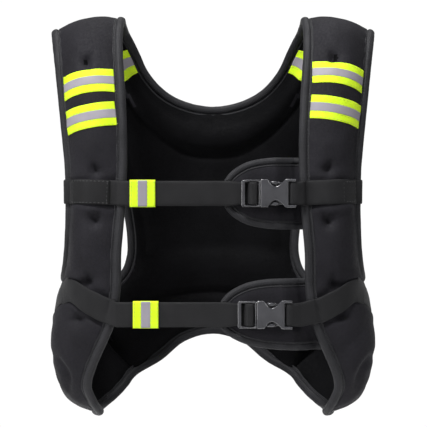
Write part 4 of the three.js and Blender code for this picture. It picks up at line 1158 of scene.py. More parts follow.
class Stitches:
    """Rows of lockstitch: a short raised thread for each stitch."""

    PITCH = 4.2
    LENGTH = 3.0
    RADIUS = 0.36
    THIN = 0.4
    SINK = 0.3
    SIDES = 5

    def __init__(self, name: str, lines: Iterable[tuple[np.ndarray, np.ndarray]], slot: Slot) -> None:
        """Sets the rows.

        Args:
            name: The piece's name.
            lines: Each row's points and the way the cloth faces there.
            slot: The finish that it counts as.
        """
        self.name, self.lines, self.slot = name, list(lines), slot

    def _template(self) -> tuple[np.ndarray, np.ndarray]:
        """One stitch along x, z up, and its faces.

        Returns:
            The points and the faces.
        """
        turn = np.arange(self.SIDES) * 2 * np.pi / self.SIDES
        thin = self.THIN * self.RADIUS
        rings = [
            np.stack([0 * turn + x * self.LENGTH, np.cos(turn) * r, np.sin(turn) * r - sink], -1)
            for x, r, sink in ((-0.5, thin, self.SINK), (0, self.RADIUS, 0), (0.5, thin, self.SINK))
        ]
        faces = []
        for i in range(2):
            for j in range(self.SIDES):
                k = (j + 1) % self.SIDES
                faces += [(i * self.SIDES + j, i * self.SIDES + k, (i + 1) * self.SIDES + k)]
                faces += [(i * self.SIDES + j, (i + 1) * self.SIDES + k, (i + 1) * self.SIDES + j)]
        for start, flip in ((0, True), (2 * self.SIDES, False)):
            for j in range(1, self.SIDES - 1):
                face = (start, start + j, start + j + 1)
                faces.append(face[::-1] if flip else face)
        return np.concatenate(rings), np.array(faces)

    def build(self) -> bpy.types.Object:
        """Lays the stitches along their rows.

        Returns:
            The finished pieces.
        """
        points, faces, (shape, shape_faces) = [], [], self._template()
        for line, normal in self.lines:
            run = lengths(line)
            places = np.arange(self.PITCH / 2, run[-1], self.PITCH)
            at, up = straight(line, run, places), unit(straight(normal, run, places))
            way = unit(straight(line, run, places + 1) - straight(line, run, places - 1))
            side = unit(np.cross(up, way))
            laid = (
                at[:, None]
                + way[:, None] * shape[None, :, :1]
                + side[:, None] * shape[None, :, 1:2]
                + up[:, None] * shape[None, :, 2:]
            )
            start = sum(len(block) for block in points)
            points.append(laid.reshape(-1, 3))
            offsets = start + np.arange(len(places))[:, None, None] * len(shape)
            faces.append((shape_faces[None] + offsets).reshape(-1, 3))
        return enrol(write_mesh(self.name, np.concatenate(points), np.concatenate(faces)), self.slot)


class FrontPanel:
    """One front panel: padding with tacked dents, the fold over the hip and the straps' press."""

    COLUMNS = 60
    FINE = 6
    SEAM_PINCH = 0.3
    SEAM_REACH = 8.0
    # How far the padding is back to full height from a seam, and from a binding
    SEAM_FADE, EDGE_FADE = 14.0, 12.0
    # A dent's pit and the sag round it: reach of each, depth of the pit over the table's, depth of the sag
    DENT_CORE, DENT_WIDE = 5.2, 14.5
    DENT_DEPTH, SAG_DEPTH = 1.75, 2.2
    # The creases from each dent: first turn, more turn for each dent, length
    CREASES = ((0.35, 1.1, 7.0), (2.6, 0.8, 5.0))
    CREASE_DEPTH, CREASE_WIDE = 1.7, 1.6
    # The top of the shoulder, flattened under its own weight: depth and reach
    CROWN_FLAT, CROWN_REACH = 4.2, 30.0
    # Under and beside a strap: depth, half width, ease, and height, place and reach of the ridge beside it
    PRESS_DEPTH, PRESS_HALF, PRESS_EASE = 2.0, 10.5, 5.5
    RIDGE_HEIGHT, RIDGE_AT, RIDGE_WIDE = 0.9, 18.0, 5.0
    # The fold over the hip: corners x and z in millimetres, depth, width
    FOLDS = {
        -1: (((-156, -336), (-149, -345), (-143, -358), (-141, -376)), 6.0, 3.2),
        1: (((157, -336), (149, -345), (144, -357), (139, -372)), 6.0, 3.2),
    }
    FOLD_STEPS, FOLD_REACH, FOLD_FRONT = 39, 22, 48

    def __init__(self, form: PanelForm, side: int) -> None:
        """Sets the panel.

        Args:
            form: The right panel's surfaces.
            side: 1 for the right, -1 for its mirror image.
        """
        self.form, self.side = form, side
        self.name = "front_panel_right" if side > 0 else "front_panel_left"
        self.paths = [strap.path(form) for strap in StrapKind]

    def pinch(self, from_seam: np.ndarray) -> np.ndarray:
        """How far a sewn seam draws the padding together."""
        return mix(self.SEAM_PINCH, 1.0, np.sqrt(smooth(from_seam / self.SEAM_REACH)))

    def relief(self, t: np.ndarray, f: np.ndarray) -> np.ndarray:
        """How far the outer face stands above its plain form, in millimetres.

        Args:
            t: Shares along the panel.
            f: Shares across it, from armhole to rim.

        Returns:
            Heights in millimetres.
        """
        form = self.form
        run, wide = form.run(t), form.width(t)
        across = f * wide
        total = np.zeros(run.shape)
        dents = [dent for dent in DENTS if dent[0] == self.side]
        for index, (_, along, share, depth) in enumerate(dents):
            da = run - form.run(np.array(along))
            dc = across - share * form.width(np.array(along))
            away = np.hypot(da, dc)
            total -= depth * self.DENT_DEPTH * bump(away, self.DENT_CORE)
            total -= self.SAG_DEPTH * bump(away, self.DENT_WIDE)
            for first, more, length in self.CREASES:
                turn = first + index * more
                p = da * math.cos(turn) + dc * math.sin(turn)
                q = dc * math.cos(turn) - da * math.sin(turn)
                wide_at = self.CREASE_WIDE + 0.12 * np.abs(p)
                total -= self.CREASE_DEPTH * bump(q, wide_at) * bump(p - length * 0.6, length)
        total += self._press(run, across)
        crown = form.run(form.stations[np.argmax(form.arm_edge.point[:, 2] + form.rim_edge.point[:, 2])])
        total -= self.CROWN_FLAT * np.sin(np.pi * np.clip(f, 0, 1)) * bump(run - crown, self.CROWN_REACH)
        points = form.pad_middle(t, f)
        edge = np.minimum(f, 1 - f) * wide
        soft = smooth(edge / self.EDGE_FADE)
        total += 0.75 * waves(points, 52.0, 3) * soft + 0.2 * waves(points, 17.0, 4) * soft
        total += 0.3 * np.sin(run / 3.1 + 2.2 * waves(points, 60.0, 8)) * np.exp(-edge / 5.0)
        return total + self._folds(points) * soft

    def _press(self, run: np.ndarray, across: np.ndarray) -> np.ndarray:
        """The padding pressed down under the straps and standing up beside them.

        Args:
            run: Distances along the panel.
            across: Distances across it.

        Returns:
            Heights in millimetres.
        """
        total = np.zeros(run.shape)
        places = np.stack([run, across], -1)
        for path in self.paths:
            line = np.stack([self.form.run(path[:, 0]), path[:, 1] * self.form.width(path[:, 0])], -1)
            away = nearest(places, line)
            total += self.RIDGE_HEIGHT * bump(away - self.RIDGE_AT, self.RIDGE_WIDE)
            total -= self.PRESS_DEPTH * (1 - smooth((away - self.PRESS_HALF) / self.PRESS_EASE))
        return total

    def _folds(self, points: np.ndarray) -> np.ndarray:
        """The deep fold where the front turns round the hip.

        Args:
            points: Places in millimetres.

        Returns:
            Heights in millimetres.
        """
        line, depth, wide = self.FOLDS[self.side]
        line = np.array(line, float)
        knots = np.linspace(0, 1, len(line))
        fine = spread(line, knots, np.linspace(0, 1, self.FOLD_STEPS + 1))
        places = points[..., [0, 2]] * np.array([self.side, 1.0])
        away = np.linalg.norm(places.reshape(-1, 1, 2) - fine[None], axis=-1)
        at = away.argmin(1)
        share = at / self.FOLD_STEPS
        away = away.min(1)
        near = away < self.FOLD_REACH
        signed = (places.reshape(-1, 2) - fine[at])[:, 0] * self.side
        strength = np.sin(np.pi * np.clip(share * 0.9 + 0.05, 0, 1)) * near
        front = points.reshape(-1, 3)[:, 1] < self.FOLD_FRONT
        crease = -depth * bump(away, wide) + 1.6 * bump(signed + 9.0, 7.0) * near
        return (crease * strength * front).reshape(points.shape[:-1])

    def build(self) -> bpy.types.Object:
        """Makes the padded panel.

        Returns:
            The finished pieces.
        """
        form = self.form
        ease = np.linspace(0, 1, self.COLUMNS + 1)
        stations = np.linspace(0, 1, STATIONS * self.FINE + 1)
        t, f = np.meshgrid(stations, mix(ease, smooth(ease), 0.35), indexing="ij")
        middle, normal = form.pad_middle(t, f), form.pad_normal(t, f)
        run = form.run(t)
        from_seam = np.minimum(run, form.runs[-1] - run)
        half = form.half(t, f) * self.pinch(from_seam)
        keep = smooth(from_seam / self.SEAM_FADE)
        outer = middle + normal * column(half + self.relief(t, f) * keep)
        soft = smooth(np.minimum(f, 1 - f) * form.width(t) / self.EDGE_FADE)
        inside = 0.5 * waves(middle, 40.0, 21) * soft * keep
        inner = middle - normal * column(half + inside)
        points, faces = padding(outer, inner)
        points = points * np.array([self.side, 1.0, 1.0])
        return enrol(write_mesh(self.name + "_padding", points, faces), Slot.NEOPRENE, self.name)


class BackPanel:
    """The padded back: a rolled collar, a flat middle and two pads at the waist on its inner face."""

    FINE = 7
    # Creases: share of the half width, height there, height in the middle, bend
    COLLAR = (0.553, -0.174, -0.3175, 2.3)
    WAIST_TOP = (0.62, -0.6, -0.575, 2.0)
    WAIST_LOW = (0.6, -0.75, -0.69, 2.0)
    # Where the filling is tacked down on the outer face: x and z in millimetres, on both sides
    DENTS = ((62, -92), (0, -165), (48, -205), (30, -258), (96, -262), (70, -318), (0, -300))

    def __init__(self, form: BackForm) -> None:
        """Sets the back.

        Args:
            form: The back's surfaces.
        """
        self.form = form

    def crease_line(self, x: np.ndarray, crease: tuple[float, float, float, float]) -> np.ndarray:
        """Height of a crease: by its reach, its heights there and in the middle, and its bend.

        Args:
            x: Places across the back.
            crease: Reach, height there, height in the middle, and bend.

        Returns:
            The crease's heights at those places.
        """
        reach, end, dip, bend = crease
        share = np.abs(x) / (reach * self.form.sizes.half_width)
        return mix(dip, end, share**bend) * self.form.sizes.body_length

    def inner_relief(self, points: np.ndarray) -> np.ndarray:
        """How far the inner face stands above its plain form.

        Args:
            points: Places in millimetres.

        Returns:
            Heights in millimetres.
        """
        x, z = points[..., 0], points[..., 2]
        collar = z - self.crease_line(x, self.COLLAR)
        top = z - self.crease_line(x, self.WAIST_TOP)
        low = z - self.crease_line(x, self.WAIST_LOW)
        fade = smooth((120 - np.abs(x)) / 20)
        total = 5.5 * bump(collar - 15, 15.0) * smooth((collar + 1) / 7) - 4.6 * bump(collar + 2, 4.2)
        total -= 3.4 * smooth(-collar / 7) * smooth(top / 7)
        total += 3.6 * bump(top + 22, 15.0) - 3.4 * bump(top, 5.0)
        total += 2.8 * bump(low + 18, 12.0) - 5.2 * bump(low, 3.8)
        return total * fade + 0.4 * waves(points, 48.0, 31)

    def outer_relief(self, points: np.ndarray) -> np.ndarray:
        """How far the outer face stands above its plain form.

        Args:
            points: Places in millimetres.

        Returns:
            Heights in millimetres.
        """
        x, z = points[..., 0], points[..., 2]
        top = z - self.crease_line(x, self.WAIST_TOP)
        low = z - self.crease_line(x, self.WAIST_LOW)
        fade = smooth((112 - np.abs(x)) / 26)
        total = -1.4 * bump(top, 4.0) - 1.6 * bump(low, 3.6)
        total += 0.8 * bump(top + 24, 16.0) + 0.7 * bump(low + 20, 13.0)
        for dent_x, dent_z in self.DENTS:
            away = np.hypot(np.abs(x) - dent_x, z - dent_z)
            total -= 2.4 * bump(away, 5.0) + 1.3 * bump(away, 14.0)
        return total * np.maximum(fade, 0.35) + 0.45 * waves(points, 48.0, 41)

    def faces(self, v: np.ndarray, u: np.ndarray) -> tuple[np.ndarray, np.ndarray, np.ndarray]:
        """The outer face, the inner face and the way they face, on a grid of rows v and columns u.

        Args:
            v: Shares down.
            u: Shares in.

        Returns:
            The outer points, the inner points and unit normals.
        """
        middle, normal, half = self.form.surface(v, u)
        seam = nearest(middle, self.form.seam_points)
        half = half * mix(FrontPanel.SEAM_PINCH, 1.0, np.sqrt(smooth(seam / FrontPanel.SEAM_REACH)))
        edge = nearest(middle, self.form.bound_points)
        keep = smooth(np.minimum(edge, seam) / 12.0)
        outer = middle + normal * column(half + self.outer_relief(middle) * keep)
        inner = middle - normal * column(half + self.inner_relief(middle) * keep)
        return outer, inner, normal

    def _finer(self, values: np.ndarray) -> np.ndarray:
        """The values with even steps between them."""
        steps = np.arange((len(values) - 1) * self.FINE + 1) / self.FINE
        return np.interp(steps, np.arange(len(values)), values)

    def build(self) -> bpy.types.Object:
        """Makes the padded back, both halves in one.

        Returns:
            The finished pieces.
        """
        form = self.form
        v, u = (self._finer(form.rows), self._finer(form.columns))
        neck = form.neck_rows * self.FINE
        outer, inner, _ = self.faces(v, u)
        for face in (outer, inner):
            face[neck:, -1, 0] = 0
        right, faces = padding(outer, inner, neck + 1)
        points = np.concatenate([right, right * MIRROR])
        piece = write_mesh("back_panel_padding", points, np.concatenate([faces, faces + len(right)]))
        face_out(piece, merge=2e-6)
        return enrol(piece, Slot.NEOPRENE, "back_panel")


class StrapKind(Enum):
    """The two straps: name, height below the shoulders, place of the buckle, tab's distance from the rim."""

    CHEST = ("chest", 175.0, 28.2, 3.52)
    WAIST = ("waist", 296.0, 24.6, 16.14)

    def path(self, form: PanelForm) -> np.ndarray:
        """Where the strap's middle runs on a panel: shares along and across, a few millimetres apart.

        Args:
            form: The panel's surfaces.

        Returns:
            The two shares, a row for each step.
        """
        if self is StrapKind.CHEST:
            table = np.array([(0.413, -0.9), (0.413, 0.0), (0.413, 1.0), (0.413, 1.5)])
        else:
            table = np.array(WAIST_WING_PATH + WAIST_FRONT_PATH)
        wide, inset = form.width(table[:, 0]), form.sizes.inset
        inside = np.clip(table[:, 1], 0, 1) * wide
        outside = np.minimum(table[:, 1], 0) * inset + np.maximum(table[:, 1] - 1, 0) * inset
        place = np.stack([form.run(table[:, 0]), inside + outside], -1)
        knots = lengths(place)
        at = np.linspace(0, knots[-1], int(knots[-1] / PATH_STEP) + 1)
        return (straight if self is StrapKind.CHEST else spread)(table, knots, at)


def ribbon_lines(
    surface: Surface, path: np.ndarray, width: float
) -> tuple[np.ndarray, np.ndarray]:
    """Cross lines of a ribbon laid on a surface, square to its run.

    Args:
        surface: Points for shares along and across the panel.
        path: The ribbon's middle line, shares along and across.
        width: The ribbon's width in millimetres.

    Returns:
        The lines' points and the way the ribbon faces at each line.
    """
    t, f = path.T
    here = surface(t, f)
    per_along = (surface(t + STEP, f) - here) / STEP
    shift = np.where(f > 0.5, -10 * STEP, 10 * STEP)
    per_across = (surface(t, f + shift) - here) / column(shift)
    facing = unit(np.cross(per_across, per_along))
    run_t, run_f = np.gradient(t), np.gradient(f)
    run = per_along * column(run_t) + per_across * column(run_f)
    square = unit(np.cross(run, facing)) * width / 2
    aa, ab, bb = ((a * b).sum(-1) for a, b in ((per_along,) * 2, (per_along, per_across), (per_across,) * 2))
    sa, sb = (square * per_along).sum(-1), (square * per_across).sum(-1)
    det = aa * bb - ab * ab
    dt, df = (sa * bb - sb * ab) / det, (sb * aa - sa * ab) / det
    off_pad = (f < 0) | (f > 1)
    over = np.sign(dt) * width / 2 / np.sqrt(aa)
    steep = np.abs(run_t) * np.sqrt(aa) / np.maximum(np.abs(run_f) * np.sqrt(bb), 1e-9)
    lengthwise = np.where(off_pad, 0.0, smooth((steep - 1.5) / 1.0))
    dt, df = np.where(off_pad, over, dt), np.where(off_pad, 0.0, df)
    dt = dt * (1 - lengthwise)
    df = mix(df, (width / 2) ** 2 / np.where(np.abs(sb) < 1e-9, 1e-9, sb), lengthwise)
    lines = surface(t[:, None] + STRANDS * dt[:, None], f[:, None] + STRANDS * df[:, None])
    return lines, facing


def drawn_taut(lines: np.ndarray, facing: np.ndarray, passes: int) -> np.ndarray:
    """Lines lifted where pulling the ribbon tight would lift them off what they lie on.

    Args:
        lines: The ribbon's cross lines.
        facing: The way it faces at each.
        passes: How often it is pulled.

    Returns:
        The lifted lines.
    """
    lines = lines.copy()
    for _ in range(passes):
        pulled = (lines[2:] + lines[:-2]) / 2 - lines[1:-1]
        lift = np.maximum((pulled * facing[1:-1, None]).sum(-1), 0)
        lines[1:-1] += facing[1:-1, None] * column(lift)
    return lines


@dataclass(frozen=True)
class BuckleSizes:
    """Named sizes of a side-release buckle, in millimetres, as its solids have them."""

    length: float = 54.5
    height: float = 28.6
    thick: float = 9.0
    frame_thick: float = 4.0
    wall: float = 1.8
    frame_length: float = 19.0
    bar: float = 3.6
    crossbar: float = 5.4
    crossbar_thick: float = 2.4
    slot: float = 5.6
    clip_slot: float = 3.4
    rail: float = 1.9
    flange_bar: float = 5.0
    flange_thick: float = 3.0
    flange_slot: float = 2.8
    clear: float = 0.4
    clip_inset: float = 0.7
    socket_inset: float = 0.4
    notch_to_slot: float = 2.7
    notch_rise: float = 10.5
    notch_entry: float = 7.0
    notch_ease: float = 0.45
    notch_apex: float = 6.8
    cavity_half: float = 12.3
    tongue: float = 4.5
    arm_length: float = 22.0
    arm_width: float = 3.2
    arm_thick: float = 4.4
    loop_width: float = 22.6
    tail: float = 22.0
    tuck_lead: float = 2.0
    tuck_run: float = 10.0


@dataclass(frozen=True)
class StrapPlace:
    """Where a strap hangs: its height, the plane of its free run, its buckle and its tab."""

    kind: StrapKind
    z: float
    y: float
    buckle_x: float
    buckle_y: float
    tab_x: float

    TAB = 25.5

    @classmethod
    def on(cls, kind: StrapKind, form: PanelForm, buckle: BuckleSizes) -> "StrapPlace":
        """Works the place out from the rim that the strap crosses.

        Args:
            kind: Which strap.
            form: The panel's surfaces.
            buckle: The buckle's sizes.

        Returns:
            The strap's place.
        """
        _, drop, buckle_x, from_rim = kind.value
        sizes = form.sizes
        rim_x, rim_y, _ = form.rim_at(-drop)
        y = rim_y - sizes.binding_thick / 2 - sizes.strap_clear - sizes.webbing_thick / 2 - sizes.strap_ahead
        buckle_y = y - sizes.webbing_thick / 2 - sizes.gap - buckle.frame_thick / 2
        return cls(kind, -drop, float(y), buckle_x, float(buckle_y), float(-rim_x + from_rim + cls.TAB / 2))

    @property
    def name(self) -> str:
        """The strap's name."""
        return self.kind.value[0]


def pressed_cover(form: PanelForm, lift: float) -> Surface:
    """Where a strap pulled into the padding lies: sunk in between the bindings, standing off over them.

    Args:
        form: The panel.
        lift: How far the strap stands off.

    Returns:
        The surface.
    """

    def surface(t: np.ndarray, f: np.ndarray) -> np.ndarray:
        """Points that the strap lies on.

        Args:
            t: Shares along the panel.
            f: Shares across it, from armhole to rim.

        Returns:
            The points.
        """
        t, f = np.broadcast_arrays(t, f)
        inside = np.minimum(f, 1 - f) * form.width(t)
        return form.cover(t, f, lift - PRESSED_IN * smooth(inside / PRESS_REACH))

    return surface


def plain_ribbon(
    name: str, node: str, lines: np.ndarray, facing: np.ndarray, thick: float, width: float, slot: Slot
) -> bpy.types.Object:
    """A ribbon through cross lines that lie on its middle.

    Args:
        name: The piece's name.
        node: The solid that it stands for.
        lines: Cross lines of its middle surface.
        facing: The way it faces at each line.
        thick: Its thickness.
        width: Its width.
        slot: Its finish.

    Returns:
        The ribbon.
    """
    # The edges are rounded over
    half = facing[:, None] * thick * column(np.sqrt(np.maximum(1 - np.abs(STRANDS) ** 12, 0.02)) / 2)
    rings = np.concatenate([lines + half, (lines - half)[:, ::-1]], 1)
    face = (1 - STRANDS) * width / 2
    return enrol(lofted(name, rings, False, np.concatenate([face, face[-1] + 1 + face])), slot, node)


def edge_lines(
    lines: np.ndarray, facing: np.ndarray, inside: float, width: float, lift: float
) -> list[tuple[np.ndarray, np.ndarray]]:
    """Lines for stitches along both edges of a ribbon's face.

    Args:
        lines: The ribbon's cross lines on its middle.
        facing: The way it faces.
        inside: How far in from its edges the stitches run.
        width: Its width.
        lift: How far its face is from its middle.

    Returns:
        The two lines with the way that they face.
    """
    return [
        (mix(lines[:, a], lines[:, b], inside / width) + facing * lift, facing) for a, b in ((0, -1), (-1, 0))
    ]


def cross_lines(
    lines: np.ndarray, facing: np.ndarray, places: Sequence[int], inside: float, lift: float
) -> list[tuple[np.ndarray, np.ndarray]]:
    """Lines for stitches across a ribbon's face.

    Args:
        lines: The ribbon's cross lines on its middle.
        facing: The way it faces.
        places: Which of the cross lines they follow.
        inside: Share of the width that they stop short of each edge.
        lift: How far its face is from its middle.

    Returns:
        The lines with the way that they face.
    """
    found = []
    for place in places:
        line = mix(lines[place, 0], lines[place, -1], column(np.linspace(inside, 1 - inside, 12)))
        way = np.broadcast_to(facing[place], line.shape)
        found.append((line + way * lift, way))
    return found


class Strap:
    """One strap in its two lengths: over the panels, along the front and round the bars of its buckle."""

    PITCH = 0.6
    LIFT = 0.35
    BOX = 19

    def __init__(self, place: StrapPlace, form: PanelForm, buckle: BuckleSizes) -> None:
        """Sets the strap.

        Args:
            place: Where it hangs.
            form: The panels that it lies on.
            buckle: Its buckle's sizes.
        """
        self.place, self.form, self.buckle = place, form, buckle

    def _on_panel(self, side: int) -> tuple[np.ndarray, np.ndarray]:
        """Middle cross lines and facings over the panel on one side.

        Args:
            side: 1 for the right, -1 for the left.

        Returns:
            The lines and facings.
        """
        sizes = self.form.sizes
        path = self.place.kind.path(self.form)
        surface = pressed_cover(self.form, self.LIFT)
        lines, facing = ribbon_lines(surface, path, sizes.webbing_width)
        lines = drawn_taut(lines, facing, TAUT_STRAP_PASSES)
        lines = lines + facing[:, None] * sizes.webbing_thick / 2
        way = np.array([side, 1.0, 1.0])
        return lines * way, facing * way

    def _free(self, corners: list[tuple[float, float, float]]) -> np.ndarray:
        """Upright cross lines through corners given by x, y and width.

        Args:
            corners: Each corner's x, y and the strap's width there.

        Returns:
            The cross lines' points.
        """
        x, y, width = np.array(corners, float).T
        z = self.place.z + STRANDS * width[:, None] / 2
        return np.stack(np.broadcast_arrays(x[:, None], y[:, None], z), -1)

    def _even(self, lines: np.ndarray, way: int) -> tuple[np.ndarray, np.ndarray]:
        """Lines at an even pitch, their corners eased, and the way that each faces.

        Args:
            lines: The ribbon's cross lines.
            way: Sign of the side that it is on.

        Returns:
            The lines and facings.
        """
        middle = lines[:, len(STRANDS) // 2]
        run = lengths(middle)
        at = np.linspace(0, run[-1], int(run[-1] / self.PITCH) + 1)
        low = np.clip(np.searchsorted(run, at, side="right") - 1, 0, len(run) - 2)
        share = ((at - run[low]) / (run[low + 1] - run[low]))[:, None, None]
        even = mix(lines[low], lines[low + 1], share)
        for _ in range(4):
            even[1:-1] = (even[:-2] + 2 * even[1:-1] + even[2:]) / 4
        tangent = np.gradient(even[:, len(STRANDS) // 2], axis=0)
        facing = unit(np.cross(even[:, 0] - even[:, -1], tangent)) * way
        return even, facing

    def _loop(self, bar_left: float, bar_right: float, bar_thick: float, towards: int) -> dict[str, float]:
        """Places of the loop round a bar.

        Args:
            bar_left: The bar's left face.
            bar_right: Its right face.
            bar_thick: Its thickness.
            towards: Sign of the way that the webbing comes from.

        Returns:
            The places by name.
        """
        reach = bar_thick / 2 + self.buckle.clear + self.form.sizes.webbing_thick / 2
        near, far = (bar_left, bar_right) if towards > 0 else (bar_right, bar_left)
        past = far + towards * (self.buckle.clear + self.form.sizes.webbing_thick / 2)
        return {
            "near": near,
            "far": far,
            "past": past,
            "front": self.place.buckle_y - reach,
            "back": self.place.buckle_y + reach,
        }

    def build_long(self) -> list[bpy.types.Object]:
        """The wearer's-side length, whose free end goes through the clip and back behind itself.

        Returns:
            The webbing and its stitches.
        """
        sizes, buckle, place = self.form.sizes, self.buckle, self.place
        on, _ = self._on_panel(-1)
        x0, y, wide, narrow = place.buckle_x, place.y, sizes.webbing_width, buckle.loop_width
        bar_left = buckle.bar + buckle.slot
        loop = self._loop(bar_left, bar_left + buckle.crossbar, buckle.crossbar_thick, 1)
        tail = y + sizes.webbing_thick + sizes.gap
        rim_x = on[-1, len(STRANDS) // 2, 0]
        corners = [
            (rim_x + sizes.binding_width / 2, y, wide),
            (x0 - buckle.tuck_lead - buckle.tuck_run, y, wide),
            (x0 - buckle.tuck_lead, y, narrow),
            (x0 + loop["near"] - 2.0, y, narrow),
            (x0 + loop["near"] - 1.1, loop["front"] + 1.4, narrow),
            (x0 + loop["near"] + 0.8, loop["front"], narrow),
            (x0 + loop["far"] + 0.3, loop["front"], narrow),
            (x0 + loop["past"], loop["front"] + 1.5, narrow),
            (x0 + loop["past"], tail - 1.6, narrow),
            (x0 + loop["past"] - 1.7, tail, narrow),
            (x0 - buckle.tuck_lead, tail, narrow),
            (x0 - buckle.tail, tail, narrow),
        ]
        return self._made("long", on, corners, -1)

    def build_short(self) -> list[bpy.types.Object]:
        """The other length, looped round the socket's flange.

        Returns:
            The webbing and its stitches.
        """
        buckle, place = self.buckle, self.place
        on, _ = self._on_panel(1)
        x0, narrow = place.buckle_x, buckle.loop_width
        loop = self._loop(buckle.length - buckle.flange_bar, buckle.length - 1, buckle.flange_thick, -1)
        corners = [
            (x0 + buckle.length + 8, mix(on[-1, len(STRANDS) // 2, 1], loop["front"], 0.5), 24.0),
            (x0 + buckle.length + 0.6, loop["front"] + 0.7, narrow),
            (x0 + loop["near"] - 0.6, loop["front"], narrow),
            (x0 + loop["far"] - 0.2, loop["front"], narrow),
            (x0 + loop["past"], loop["front"] + 1.4, narrow),
            (x0 + loop["past"], loop["back"] - 1.4, narrow),
            (x0 + loop["far"] - 0.2, loop["back"], narrow),
            (x0 + buckle.length + 1.2, loop["back"], narrow),
        ]
        corners = [corner for corner in corners if corner[0] < on[-1, len(STRANDS) // 2, 0] - 1.0]
        return self._made("short", on, corners, 1)

    def _made(
        self, which: str, on: np.ndarray, corners: list[tuple[float, float, float]], way: int
    ) -> list[bpy.types.Object]:
        """One length of webbing and its stitches.

        Args:
            which: long or short.
            on: Its cross lines on the panel.
            corners: The corners of its free run: x, y and width.
            way: Sign of the side that it faces.

        Returns:
            The webbing and the stitches.
        """
        lines, facing = self._even(np.concatenate([on, self._free(corners)]), way)
        name, sizes = f"{self.place.name}_strap_{which}", self.form.sizes
        width, thick = sizes.webbing_width, sizes.webbing_thick
        strap = plain_ribbon(name + "_webbing", name, lines, facing, thick, width, Slot.WEBBING)
        return [strap, *self._sewn(lines, facing, f"{self.place.name}_{which}")]

    def _sewn(self, lines: np.ndarray, facing: np.ndarray, name: str) -> list[bpy.types.Object]:
        """A box of stitches that holds the strap to its panel near the armhole.

        Args:
            lines: The ribbon's cross lines.
            facing: The way it faces at each.
            name: The piece's name.

        Returns:
            The stitches.
        """
        start = int((15 if self.place.kind is StrapKind.CHEST else 3) / self.PITCH)
        stop = start + int(self.BOX / self.PITCH)
        lift = self.form.sizes.webbing_thick / 2 + 0.1
        rows = edge_lines(lines[start:stop], facing[start:stop], 2.6, self.form.sizes.webbing_width, lift)
        rows += cross_lines(lines, facing, (start, stop), 0.1, lift)
        return [Stitches(name + "_box_stitches", rows, Slot.WEBBING).build()]


@dataclass(frozen=True)
class HiVisTape:
    """A hi-vis tape with a silver strip along its middle, sewn down on cloth."""

    name: str
    width: float
    silver_share: float

    THICK = 0.55
    SILVER_THICK = 0.25
    HAIR = 0.02

    def on(self, surface: Surface, path: np.ndarray, way: np.ndarray) -> list[bpy.types.Object]:
        """Lays the tape on the cloth.

        Args:
            surface: The cloth's face.
            path: Shares of its middle line on the cloth.
            way: Signs that put it on its side.

        Returns:
            The tape, the strip and the stitches.
        """
        lines, facing = ribbon_lines(surface, path, self.width)
        inward, _ = ribbon_lines(surface, path, self.width * self.silver_share)
        return self.build(lines * way, inward * way, facing * way)

    def build(self, lines: np.ndarray, inward: np.ndarray, facing: np.ndarray) -> list[bpy.types.Object]:
        """Makes the tape, its strip and the stitches along both.

        Args:
            lines: The tape's cross lines on the cloth.
            inward: The strip's cross lines.
            facing: The way they face.

        Returns:
            The tape, the strip and the stitches.
        """
        name, width, share, thick = self.name, self.width, self.silver_share, self.THICK
        middle = lines + facing[:, None] * thick / 2
        tape = plain_ribbon(name + "_fabric", name, middle, facing, thick, width, Slot.LIME)
        over = inward + facing[:, None] * (thick + self.HAIR + self.SILVER_THICK / 2)
        strip = plain_ribbon(
            name + "_reflector", name + "_silver", over, facing, self.SILVER_THICK, width * share, Slot.SILVER
        )
        rows = []
        for inside in (1.5, width * (0.5 - share / 2) - 0.9):
            rows += edge_lines(middle, facing, inside, width, thick / 2 + 0.05)
        return [tape, strip, Stitches(name + "_stitches", rows, Slot.LIME).build()]


